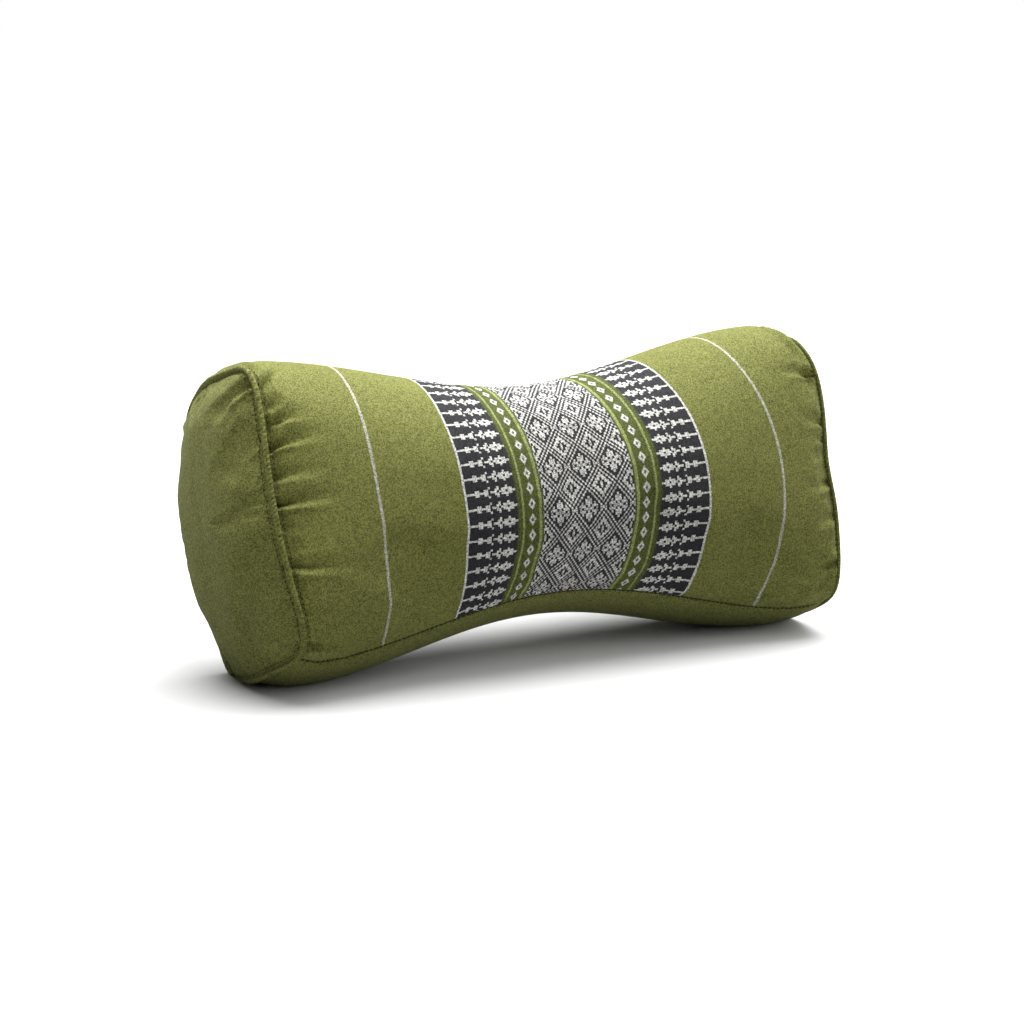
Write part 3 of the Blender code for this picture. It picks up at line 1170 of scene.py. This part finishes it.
FRONT_RIGHT = (
    Crease(angle=90, length=0.060, width=0.0240, depth=-0.0012, shoulder=0, steepness=1),
    Crease(angle=70, length=0.022, width=0.0026, depth=0.0034, drift=6, steepness=2.2),
    Crease(angle=41, length=0.026, width=0.0026, depth=0.0038, drift=2, steepness=2.2),
    Crease(angle=20, length=0.022, width=0.0028, depth=0.0021, drift=1),
    Crease(angle=11, length=0.018, width=0.0024, depth=0.0014),
    Crease(angle=-13, length=0.026, width=0.0030, depth=0.0024, drift=-1),
    Crease(angle=-30, length=0.022, width=0.0028, depth=0.0019),
    Crease(angle=-48, length=0.022, width=0.0028, depth=0.0040, drift=2, steepness=2.0),
)
CAP_LEFT = (
    Crease(angle=53, length=0.033, width=0.0040, depth=0.0048, drift=14, shoulder=0.4, steepness=2.4),
    Crease(angle=88, length=0.036, width=0.0030, depth=0.0009, drift=14, shoulder=0.6),
    Crease(angle=32, length=0.022, width=0.0040, depth=0.0010, drift=4),
    Crease(angle=2, length=0.024, width=0.0040, depth=0.0008),
    Crease(angle=-32, length=0.022, width=0.0030, depth=0.0015),
    Crease(angle=-59, length=0.026, width=0.0036, depth=0.0018, drift=-5),
    Crease(angle=-84, length=0.024, width=0.0020, depth=0.0010, drift=16),
    Crease(angle=-96, length=0.028, width=0.0018, depth=0.0008, drift=18),
    Crease(angle=125, length=0.026, width=0.0030, depth=0.0014, drift=-8),
    Crease(angle=152, length=0.020, width=0.0028, depth=0.0010),
    Crease(angle=185, length=0.024, width=0.0034, depth=0.0011, drift=5),
    Crease(angle=214, length=0.022, width=0.0028, depth=0.0010),
    Crease(angle=240, length=0.028, width=0.0032, depth=0.0015, drift=-6),
)
CAP_RIGHT = (
    Crease(angle=58, length=0.032, width=0.0030, depth=0.0024, drift=15, shoulder=0.5),
    Crease(angle=40, length=0.026, width=0.0028, depth=0.0017, drift=4),
    Crease(angle=18, length=0.022, width=0.0030, depth=0.0011),
    Crease(angle=-10, length=0.024, width=0.0030, depth=0.0013),
    Crease(angle=-30, length=0.020, width=0.0030, depth=0.0010),
    Crease(angle=-54, length=0.030, width=0.0034, depth=0.0019, drift=-6),
    Crease(angle=-88, length=0.024, width=0.0024, depth=0.0010, drift=10),
    Crease(angle=90, length=0.028, width=0.0030, depth=0.0012, drift=-10),
    Crease(angle=122, length=0.028, width=0.0032, depth=0.0017, drift=-6),
    Crease(angle=160, length=0.022, width=0.0028, depth=0.0011),
    Crease(angle=193, length=0.026, width=0.0032, depth=0.0012, drift=6),
    Crease(angle=236, length=0.028, width=0.0032, depth=0.0015, drift=-8),
)


def back_creases(side: Side) -> tuple:
    """Creases that the end seam gathers at the top and the back, where the photo shows none.

    Args:
        side: The end of the pillow.

    Returns:
        The creases, unevenly spaced and sized.
    """
    dice = np.random.default_rng(11 + side.value)
    angles = 78 + np.cumsum(dice.uniform(8, 19, 12))
    return tuple(
        Crease(float(angle), length, width, depth, drift)
        for angle, length, width, depth, drift in zip(
            angles[angles < 246],
            dice.uniform(0.013, 0.026, 12),
            dice.uniform(0.0018, 0.0026, 12),
            dice.uniform(0.0008, 0.0017, 12),
            dice.uniform(-4, 4, 12),
        )
    )


def crowded(columns: int, both_ends: float, first_end: float = 0.0) -> np.ndarray:
    """Steps from 0 to 1 that come closer together at their ends: even steps less two sines.

    Args:
        columns: Number of steps' ends.
        both_ends: How much closer at both ends, from even at 0.
        first_end: How much closer at the first end, and wider at the last.

    Returns:
        The steps' ends.
    """
    even = np.linspace(0, 1, columns)
    steps = even - both_ends * np.sin(2 * math.pi * even) / (2 * math.pi)
    return steps - first_end * np.sin(math.pi * even) / math.pi


def places_along(rows: int, crowding: float) -> np.ndarray:
    """Places along the pillow from -1 to 1, closer together near both ends: even plus a sine."""
    even = np.linspace(-1, 1, rows)
    return even + crowding * np.sin(math.pi * even) / math.pi


@dataclass
class PatternedWrap:
    """The patterned panel that wraps the front, the top and the back of the stuffing."""

    name: str = "patterned_wrap"
    rows: int = 241
    columns: int = 381
    coarse: tuple = (84, 92)
    seam_crowding: float = 0.6
    column_crowding: tuple = (0.25, 0.35)  # at both lower seams, and towards the front
    band_skew: float = 0.06  # how far a row rises for each millimetre to the right
    bow_at_middle: float = 4.59  # millimetres that the band's lines bow to the right, at the front
    bow_with_place: float = 8.79 / 110  # more bow for each millimetre to the right
    waist_steps: int = 2000  # in the sum of the waist's length
    # Where the band's lines lie on the stretched cloth, and where they were woven
    stretched: tuple = (-150, -101.5, -61.8, -34.6, -25.8, 24.5, 34.6, 63.0, 104.7, 150)
    woven: tuple = (-151.6, -103.1, -62.35, -34.6, -25.1, 25.1, 34.6, 62.35, 103.1, 148.4)

    def angles(self, t: np.ndarray, columns: int) -> np.ndarray:
        """Angles from the front seam over the top to the back seam, for each place."""
        front = FORM.base_seam_angle(t)[:, None]
        return front + (math.pi - 2 * front) * crowded(columns, *self.column_crowding)

    def heights(self, t: np.ndarray, angle: np.ndarray, reach: np.ndarray) -> np.ndarray:
        """What the creases of both end seams add to the surface.

        Args:
            t: Place along the pillow, from -1 to 1.
            angle: Angle round the section, in radians.
            reach: Distance from the long axis, in metres.

        Returns:
            The added height, in metres.
        """
        way = FORM.half_length * (1 + t)
        left = creases_rise((*FRONT_LEFT, *back_creases(Side.LEFT)), way, angle, reach)
        way = FORM.half_length * (1 - t)
        return left + creases_rise((*FRONT_RIGHT, *back_creases(Side.RIGHT)), way, angle, reach)

    def surface(self, t: np.ndarray, angle: np.ndarray, added: np.ndarray) -> np.ndarray:
        """Points of the wrap: the form's radius, less its grooves, plus what is added.

        Args:
            t: Place along the pillow, from -1 to 1.
            angle: Angle round the section, in radians.
            added: Height above the form, in metres.

        Returns:
            The points.
        """
        reach = FORM.radius(t, angle)
        out = reach - FORM.groove(t, angle, reach) + added
        return FORM.stand(FORM.body_x(t, angle), out * np.cos(angle), out * np.sin(angle), t)

    def wrinkles(self, places: np.ndarray) -> np.ndarray:
        """The relaxed cloth's wrinkles, held down at the seams.

        Args:
            places: The fine grid's places along the pillow.

        Returns:
            Their heights on the fine grid, in metres.
        """
        rows, columns = self.coarse
        t = places_along(rows, self.seam_crowding)[:, None]
        angle = self.angles(t[:, 0], columns)
        held = np.zeros((rows, columns), dtype=bool)
        held[[0, -1]] = True
        held[:, [0, -1]] = True
        found = RELAXATION.wrinkles(self.surface(t, angle, np.zeros_like(angle)), held, closed=False)
        coarse_share, fine_share = np.linspace(0, 1, columns), np.linspace(0, 1, self.columns)
        return resampled(found, (t[:, 0], coarse_share), (places, fine_share))

    def pattern_places(self, t: np.ndarray, angle: np.ndarray) -> np.ndarray:
        """Millimetres across and along the woven band, for each point.

        Across, the lines bow at the front by a part that grows with the place, times the
        squared cosine of the angle, and are then read as they were woven. Along, a row keeps
        its angle all the way, at the waist's own length of cloth, and rises to the right.

        Args:
            t: Place along the pillow, from -1 to 1.
            angle: Angle round the section.

        Returns:
            Two numbers for each point.
        """
        x = FORM.body_x(t, angle) * MILLIMETRES
        front = np.where(np.abs(angle) < math.pi / 2, np.cos(angle) ** 2, 0.0)
        across = (x - self.bow_at_middle * front) / (1 + self.bow_with_place * front)
        steps = np.linspace(-math.pi / 2, 1.5 * math.pi, self.waist_steps)
        waist = FORM.radius(np.float64(0.0), steps)
        lengths = np.cumsum(waist) * (steps[1] - steps[0])
        along = np.interp(angle, steps, lengths - np.interp(0.0, steps, lengths)) * MILLIMETRES
        as_woven = np.interp(across, self.stretched, self.woven)
        return np.stack([as_woven, along - self.band_skew * across], axis=-1)

    def weave_places(self, t: np.ndarray, angle: np.ndarray) -> np.ndarray:
        """Millimetres of cloth along the pillow and round it, from the front's middle.

        Args:
            t: Place along the pillow, from -1 to 1.
            angle: Angle round the section.

        Returns:
            Two numbers for each point.
        """
        reach = FORM.radius(t, angle)
        steps = np.diff(angle, axis=1) * (reach[:, 1:] + reach[:, :-1]) / 2
        lengths = np.concatenate([np.zeros((len(angle), 1)), np.cumsum(steps, axis=1)], axis=1)
        middle = np.array([np.interp(0.0, line, length) for line, length in zip(angle, lengths)])
        return np.stack([FORM.body_x(t, angle), lengths - middle[:, None]], axis=-1) * MILLIMETRES

    def build(self, finish: bpy.types.Material) -> bpy.types.Object:
        """Makes the wrap as one closed shell, in place.

        Args:
            finish: The patterned cloth's material.

        Returns:
            The object.
        """
        places = places_along(self.rows, self.seam_crowding)
        t = places[:, None]
        angle = self.angles(places, self.columns)
        reach = FORM.radius(t, angle)
        points = self.surface(t, angle, self.heights(t, angle, reach) + self.wrinkles(places))
        mesh = closed_shell(self.name, points, end_middles(points))
        add_uv_map(mesh, PATTERN_MAP, self.pattern_places(t, angle))
        add_uv_map(mesh, WEAVE_MAP, self.weave_places(t, angle))
        return show(mesh, SEAM_CORNER, finish)


@dataclass
class BaseStrip:
    """The plain strip under the pillow, between the two lower seams."""

    name: str = "base_strip"
    rows: int = 261
    columns: int = 61
    seam_crowding: float = 0.5
    column_crowding: float = 0.7

    def build(self, finish: bpy.types.Material) -> bpy.types.Object:
        """Makes the strip as one closed shell, in place, a seam's gap below the wrap's edge.

        Args:
            finish: The plain cloth's material.

        Returns:
            The object.
        """
        t = places_along(self.rows, self.seam_crowding)[:, None]
        front = FORM.base_seam_angle(t)
        angle = (-math.pi - front) + (math.pi + 2 * front) * crowded(self.columns, self.column_crowding)
        reach = FORM.radius(t, angle)
        out = reach - FORM.groove(t, angle, reach)
        lowered = out * np.sin(angle) - FORM.seam_gap
        points = FORM.stand(FORM.body_x(t, angle), out * np.cos(angle), lowered, t)
        mesh = closed_shell(self.name, points, end_middles(points))
        lengths = (angle - angle[:, :1]) * reach
        add_uv_map(mesh, WEAVE_MAP, np.stack([FORM.body_x(t, angle), lengths], axis=-1) * MILLIMETRES)
        return show(mesh, SEAM_CORNER, finish)


@dataclass
class CrownedEnd:
    """A plain end panel: a stuffed crown within the raised ridge of its seam."""

    side: Side
    crown: float
    shape: tuple  # the two powers of the crown's curve
    creases: tuple
    ridge_width: float
    ridge_rise: float
    columns: int = 720
    crown_rows: int = 80
    ridge_rows: int = 10
    ridge_twists: int = 150
    twist_height: float = 0.24  # as a share of the ridge's rise, as the next two are
    uneven_height: float = 0.12
    uneven_waves: tuple = (23, 7)
    valley: float = 0.0010
    valley_reach: float = 0.0016
    beside_ridge_reach: float = 0.004
    less_full_below: float = 0.3  # share of the crown that is missing towards its bottom
    usual_reach: float = 0.07  # from the axis to the seam, for the creases' width
    edge_rows: tuple = (0.45, 2.2)  # share of the rows that crowd at the seam, and the power
    coarse: tuple = (26, 96)
    coarse_hole: float = 0.06  # share of the section that the coarse rings leave open
    wrinkle_fade: tuple = (0.1, 0.3)  # shares of the section, at the seam and at the middle
    name: str = field(init=False)

    def __post_init__(self) -> None:
        """Names the piece by its side."""
        self.name = f"end_panel_cloth_{self.side.name.lower()}"

    def ring(self, angle: np.ndarray, share: np.ndarray, out: np.ndarray, rise: np.ndarray) -> np.ndarray:
        """Points on rings of the seam's section times a share, moved out along the pillow.

        Args:
            angle: Angle round the section, in radians.
            share: Share of the seam's section.
            out: Way outwards along the pillow, in metres.
            rise: Way away from the long axis, in metres.

        Returns:
            The points.
        """
        side = np.float64(self.side.value)
        reach = FORM.radius(side, angle) * share + rise
        bow = (FORM.end_seam_x(side, angle) - side * FORM.half_length) * share**2
        x = side * (FORM.half_length + FORM.seam_gap + out) + bow
        return FORM.stand(x, reach * np.cos(angle), reach * np.sin(angle), side)

    def crown_rise(self, share: np.ndarray) -> np.ndarray:
        """Height of the crown: one less a power of the share, itself raised to a power."""
        power, roundness = self.shape
        return self.crown * (1 - share**power) ** roundness

    def crown_out(self, share: np.ndarray, way: np.ndarray, angle: np.ndarray) -> np.ndarray:
        """Way outwards from the seam to the crown's cloth, with its creases.

        Beside the ridge the cloth keeps near it, and an exponential valley presses it in. The
        crown is less full towards its bottom, by the fourth power of the angle's sine.

        Args:
            share: Share of the seam's section.
            way: Way from the seam, in metres.
            angle: Angle round the section, in radians.

        Returns:
            The way outwards, in metres.
        """
        fullness = 1 - self.less_full_below * share * np.clip(-np.sin(angle), 0, 1) ** 4
        near_ridge = self.ridge_width * np.exp(-way / self.beside_ridge_reach)
        beside = np.maximum(self.crown_rise(share) * fullness, near_ridge)
        added = creases_rise(self.creases, way, angle, self.usual_reach * np.maximum(share, 0.2))
        return beside - self.valley * np.exp(-way / self.valley_reach) + added

    def wrinkles(self, shares: np.ndarray, angle: np.ndarray) -> np.ndarray:
        """The relaxed cloth's wrinkles, fading out at the seam and at the middle.

        Args:
            shares: The fine rings' shares of the seam's section.
            angle: The fine rings' angles, in radians.

        Returns:
            Their heights on the fine rings, in metres.
        """
        rows, columns = self.coarse
        coarse_share = np.linspace(1, self.coarse_hole, rows)[:, None]
        around = np.linspace(0, 2 * math.pi, columns, endpoint=False)
        points = self.ring(around, coarse_share, self.crown_rise(coarse_share), np.float64(0))
        held = np.zeros((rows, columns), dtype=bool)
        held[0] = True
        found = RELAXATION.wrinkles(points, held, closed=True)
        found = np.concatenate([found, found[:, :1]], axis=1)
        full_turn = np.append(around, 2 * math.pi)
        fine = resampled(found, (1 - coarse_share[:, 0], full_turn), (1 - shares, angle))
        at_seam, at_middle = self.wrinkle_fade
        share = shares[:, None]
        return fine * np.clip((1 - share) / at_seam, 0, 1) * np.clip(share / at_middle, 0, 1)

    def ridge(self, angle: np.ndarray) -> np.ndarray:
        """Rings of the seam's ridge, a half circle: out by one less the cosine, up by the sine.

        Its height is uneven by two slow waves and by the slanting marks of its stitches.

        Args:
            angle: The rings' angles, in radians.

        Returns:
            The points.
        """
        turn = np.linspace(0, math.pi, self.ridge_rows)[:, None]
        fast, slow = self.uneven_waves
        uneven = 1 + self.uneven_height * np.sin(fast * angle + 1.3) * np.sin(slow * angle)
        uneven = uneven + self.twist_height * np.sin(self.ridge_twists * angle + 2.5 * turn)
        out = self.ridge_width * (1 - np.cos(turn)) / 2
        return self.ring(angle, np.ones_like(turn), out, self.ridge_rise * np.sin(turn) * uneven)

    def build(self, finish: bpy.types.Material) -> bpy.types.Object:
        """Makes the end as one closed shell, in place: the ridge's rings, then the crown's.

        Args:
            finish: The plain cloth's material.

        Returns:
            The object.
        """
        angle = np.linspace(0, 2 * math.pi, self.columns, endpoint=False)
        spaced = np.linspace(0, 1, self.crown_rows + 1)[1:-1]
        crowd, power = self.edge_rows
        shares = 1 - (crowd * spaced**power + (1 - crowd) * spaced)
        share = shares[:, None]
        side = np.float64(self.side.value)
        way = (1 - share) * FORM.radius(side, angle)
        out = self.crown_out(share, way, angle) + self.wrinkles(shares, angle)
        crown = self.ring(angle, share, out, np.float64(0))
        middles = [side * (FORM.half_length + FORM.seam_gap + high) for high in (0.0, self.crown)]
        tips = np.stack([FORM.stand(middle, 0.0, 0.0, side) for middle in middles])
        rings = np.concatenate([self.ridge(angle), crown])
        mesh = closed_shell(self.name, rings, tips)
        places = np.concatenate([rings.reshape(-1, 3), tips]) * MILLIMETRES
        add_uv_map(mesh, WEAVE_MAP, places[:, 1:])
        return show(mesh, RIDGE_CORNER, finish)


ENDS = (
    CrownedEnd(
        Side.LEFT, crown=0.0214, shape=(2.6, 0.75), creases=CAP_LEFT, ridge_width=0.0029, ridge_rise=0.0016
    ),
    CrownedEnd(
        Side.RIGHT, crown=0.0190, shape=(2.0, 1.0), creases=CAP_RIGHT, ridge_width=0.0015, ridge_rise=0.0005
    ),
)


@dataclass
class StitchLine:
    """A line of short stitches sewn through the cloth, as one mesh of small spindles."""

    name: str
    length: float = 0.0015
    spacing: float = 0.0026
    thickness: float = 0.00031
    around: int = 6
    along: int = 5
    flatness: float = 0.8  # of a stitch's height, against its width
    end_share: float = 0.94  # way to a stitch's tip at which its last ring stands
    sight: float = 0.001  # way ahead and behind that gives the path's direction

    def build(self, path: np.ndarray, outward: np.ndarray, finish: bpy.types.Material) -> bpy.types.Object:
        """Makes the stitches along a path.

        A spindle's points are its middle, plus the path's direction times the way along it,
        plus a circle whose radius is the root of one less the squared share of the way.

        Args:
            path: Points along the seam.
            outward: The surface's direction at each point.
            finish: The thread's material.

        Returns:
            The object.
        """
        steps = np.linalg.norm(np.diff(path, axis=0), axis=1)
        ways = np.concatenate([[0], np.cumsum(steps)])
        count = int(ways[-1] / self.spacing)
        middles = (np.arange(count) + 0.5) * ways[-1] / count
        centre = read_along(middles, ways, path)
        ahead, behind = (read_along(middles + way, ways, path) for way in (self.sight, -self.sight))
        direction = unit(ahead - behind)
        across = unit(np.cross(direction, read_along(middles, ways, outward)))
        up = np.cross(across, direction)
        share = np.linspace(-self.end_share, self.end_share, self.along)[:, None]
        turn = np.linspace(0, 2 * math.pi, self.around, endpoint=False)
        width = self.thickness * np.sqrt(1 - share**2)
        parts = [
            (share * self.length / 2 + 0 * turn)[None, ..., None] * direction[:, None, None],
            (width * np.cos(turn))[None, ..., None] * across[:, None, None],
            (width * np.sin(turn) * self.flatness)[None, ..., None] * up[:, None, None],
        ]
        points = (centre[:, None, None] + sum(parts)).reshape(-1, 3)
        each = self.along * self.around
        quads = grid_quads(self.along, self.around, closed=True)
        half = direction * self.length / 2
        tips = np.stack([centre - half, centre + half], axis=1)
        starts = np.arange(count)[:, None, None] * each
        all_quads = (quads[None] + starts).reshape(-1, 4)
        fans = []
        for number, ring_start in enumerate((0, each - self.around)):
            fan = fan_triangles(ring_start, self.around, 0)[None] + starts
            fan[..., 2] = len(points) + 2 * np.arange(count)[:, None] + number
            fans.append(fan.reshape(-1, 3))
        points = np.concatenate([points, tips.reshape(-1, 3)])
        return show(build_mesh(self.name, points, all_quads, np.concatenate(fans)), RIDGE_CORNER, finish)


def read_along(places: np.ndarray, ways: np.ndarray, line: np.ndarray) -> np.ndarray:
    """Values of a line at places along it.

    Args:
        places: Ways along the line to read at.
        ways: Way along the line to each of its points.
        line: Three values for each of its points.

    Returns:
        Three values for each place.
    """
    return np.stack([np.interp(places, ways, line[:, axis]) for axis in range(3)], axis=-1)


@dataclass(frozen=True)
class StitchPaths:
    """Where the stitches run: beside both ridges, and in the lower seams' valleys."""

    on_wrap: float = 0.0011  # way from the end seam to the line on the wrap
    on_end: float = 0.0023  # way from the end seam to the line on the end panel
    lift: float = 0.0002  # above the cloth, beside a ridge
    steps: int = 721
    base_steps: int = 500
    base_end: float = 0.985  # share of the way to the end seams
    base_below: float = 0.0008  # under the valley's middle, on its lower wall
    base_lift: float = 0.0003

    def beside_ridge(self, end: CrownedEnd, outer: bool) -> tuple:
        """A closed line on the cloth beside an end seam's ridge.

        Args:
            end: The end of the pillow.
            outer: Whether the line is on the end panel and not on the wrap.

        Returns:
            The line's points, and the directions away from the long axis.
        """
        angle = np.linspace(-math.pi / 2, 1.5 * math.pi, self.steps)
        side = np.float64(end.side.value)
        if outer:
            share = 1 - self.on_end / FORM.radius(side, angle)
            out = end.crown_out(share, np.float64(self.on_end), angle) + self.lift
            near, far = (end.ring(angle, share, out, np.float64(rise)) for rise in (0.0, PROBE))
        else:
            wrap = PatternedWrap()
            t = np.full_like(angle, side * (1 - self.on_wrap / FORM.half_length))
            added = wrap.heights(t, angle, FORM.radius(t, angle)) + self.lift
            near, far = (wrap.surface(t, angle, added + rise) for rise in (0.0, PROBE))
        return near, unit(far - near)

    def in_base_seam(self, back: bool) -> tuple:
        """The line of a lower seam's stitches, on the lower wall of its valley.

        Args:
            back: Whether it is the seam at the back.

        Returns:
            The line's points, and the directions away from the long axis.
        """
        t = np.linspace(-self.base_end, self.base_end, self.base_steps)
        angle = FORM.base_seam_angle(t)
        angle = angle - self.base_below / FORM.radius(t, angle)
        if back:
            angle = math.pi - angle
        reach = FORM.radius(t, angle)
        out = reach - FORM.groove(t, angle, reach) + self.base_lift
        x = FORM.body_x(t, angle)
        ways = (out, out + PROBE)
        near, far = (FORM.stand(x, way * np.cos(angle), way * np.sin(angle), t) for way in ways)
        return near, unit(far - near)


@dataclass(frozen=True)
class Studio:
    """A pale floor, soft light from above and the camera at the photograph's angle."""

    yaw: float = 29.051
    elevation: float = 10.583
    distance: float = 1.346
    focal_pixels: float = 2706.1
    image_pixels: float = 1024.0
    sensor: float = 36.0
    aim_right: float = -0.004292
    aim_height: float = 0.06794
    floor_size: float = 60.0
    floor_seen: float = 0.44
    floor_bounce: float = 0.23
    sky: float = 0.02
    floor_lamp: str = "before"  # lights the floor alone, so that the shadow stays light
    # Bearing, height, width and strength of each lamp
    lamps: dict = field(
        default_factory=lambda: {
            "above": (142, 67.5, 68, 9.1),
            "behind": (205, 12, 50, 0.42),
            "before": (60, 38, 110, 5.6),
        }
    )

    def place_camera(self) -> None:
        """Places the camera on a ray back from the aim, and makes it the scene's camera."""
        yaw, up_angle = math.radians(self.yaw), math.radians(self.elevation)
        right = Vector((math.cos(yaw), -math.sin(yaw), 0))
        level = math.cos(up_angle)
        back = Vector((-math.sin(yaw) * level, -math.cos(yaw) * level, math.sin(up_angle)))
        above = back.cross(right)
        aim = right * self.aim_right + Vector((FORM.middle_shift, 0, self.aim_height))
        data = bpy.data.cameras.new("camera")
        data.sensor_width = self.sensor
        data.lens = self.focal_pixels / self.image_pixels * self.sensor
        data.clip_end = 200
        camera = bpy.data.objects.new("camera", data)
        turned = Matrix((right, above, back)).transposed().to_4x4()
        camera.matrix_world = Matrix.Translation(aim + back * self.distance) @ turned
        bpy.context.scene.collection.objects.link(camera)
        bpy.context.scene.camera = camera

    def lay_floor(self) -> None:
        """Lays the pale floor, which isn't part of the object."""
        half = self.floor_size / 2
        corners = np.array([(-half, -half, 0), (half, -half, 0), (half, half, 0), (-half, half, 0)])
        mesh = build_mesh("floor", corners, np.array([[0, 1, 2, 3]]), np.empty((0, 3), dtype=int))
        floor = bpy.data.objects.new("floor", mesh)
        bpy.context.scene.collection.objects.link(floor)
        material = bpy.data.materials.new("floor_paper")
        material.use_nodes = True
        shader = material.node_tree.nodes["Principled BSDF"]
        board = NodeBoard(material.node_tree)
        seen = board.add("ShaderNodeLightPath").outputs["Is Camera Ray"]
        shades = [(shade, shade, shade, 1.0) for shade in (self.floor_bounce, self.floor_seen)]
        board.feed(shader.inputs["Base Color"], board.mix(seen, *shades))
        shader.inputs["Roughness"].default_value = 0.9
        shader.inputs["Specular IOR Level"].default_value = 0.1
        mesh.materials.append(material)

    def light(self) -> None:
        """Hangs the lamps and whitens the surroundings."""
        scene = bpy.context.scene
        scene.view_settings.view_transform = "Standard"
        world = bpy.data.worlds.new("studio")
        world.use_nodes = True
        board = NodeBoard(world.node_tree)
        background = world.node_tree.nodes["Background"]
        background.inputs["Color"].default_value = (1, 1, 1, 1)
        seen = board.add("ShaderNodeLightPath").outputs["Is Camera Ray"]
        board.feed(background.inputs["Strength"], board.math("MULTIPLY_ADD", seen, 1.0 - self.sky, self.sky))
        scene.world = world
        for name, lamp in self.lamps.items():
            self._lamp(name, *lamp)

    def _lamp(self, name: str, bearing: float, height: float, width: float, strength: float) -> None:
        """Hangs a soft far lamp.

        Args:
            name: The lamp's name.
            bearing: Angle round the pillow from its front, towards its right.
            height: Angle above the floor.
            width: How wide the lamp looks from the pillow, in degrees.
            strength: Its strength.
        """
        data = bpy.data.lights.new(name, "SUN")
        data.angle = math.radians(width)
        data.energy = strength
        lamp = bpy.data.objects.new(name, data)
        turn, level = math.radians(bearing), math.cos(math.radians(height))
        place = Vector((math.sin(turn) * level, -math.cos(turn) * level, math.sin(math.radians(height))))
        lamp.matrix_world = Matrix.Translation(place) @ place.to_track_quat("Z", "Y").to_matrix().to_4x4()
        bpy.context.scene.collection.objects.link(lamp)
        if name == self.floor_lamp:
            lit = bpy.data.collections.new("lit_floor")
            lit.objects.link(bpy.data.objects["floor"])
            lamp.light_linking.receiver_collection = lit


def settle(piece: bpy.types.Object, node: str | None) -> None:
    """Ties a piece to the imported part, and logs it.

    Args:
        piece: The piece.
        node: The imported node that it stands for.
    """
    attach(piece, "root")
    if node:
        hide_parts(node)
    log.info("%s: %d faces", piece.name, len(piece.data.polygons))


def main() -> None:
    """Builds the pillow's pieces in order, dresses them, and sets up the studio."""
    logging.basicConfig(level=logging.INFO, format="%(name)s: %(message)s")
    weave = PlainWeave().group()
    band = BandFinish("patterned_cotton", colour="7E8143").material(weave)
    plain = ClothFinish("plain_cotton", colour="7B7E42").material(weave)
    thread = ThreadFinish("sewing_thread", colour="34390F").material()
    settle(PatternedWrap().build(band), "patterned_panel")
    settle(BaseStrip().build(plain), "base_panel")
    paths = StitchPaths()
    for end in ENDS:
        name = end.side.name.lower()
        settle(end.build(plain), f"end_panel_{name}")
        for place, outer in (("inner", False), ("outer", True)):
            stitches = StitchLine(f"stitches_{name}_{place}")
            settle(stitches.build(*paths.beside_ridge(end, outer), thread), None)
    for name, back in (("front", False), ("back", True)):
        stitches = StitchLine(f"stitches_base_{name}", length=0.0022, thickness=0.00045)
        settle(stitches.build(*paths.in_base_seam(back), thread), None)
    studio = Studio()
    studio.place_camera()
    studio.lay_floor()
    studio.light()


if __name__ == "__main__":
    main()
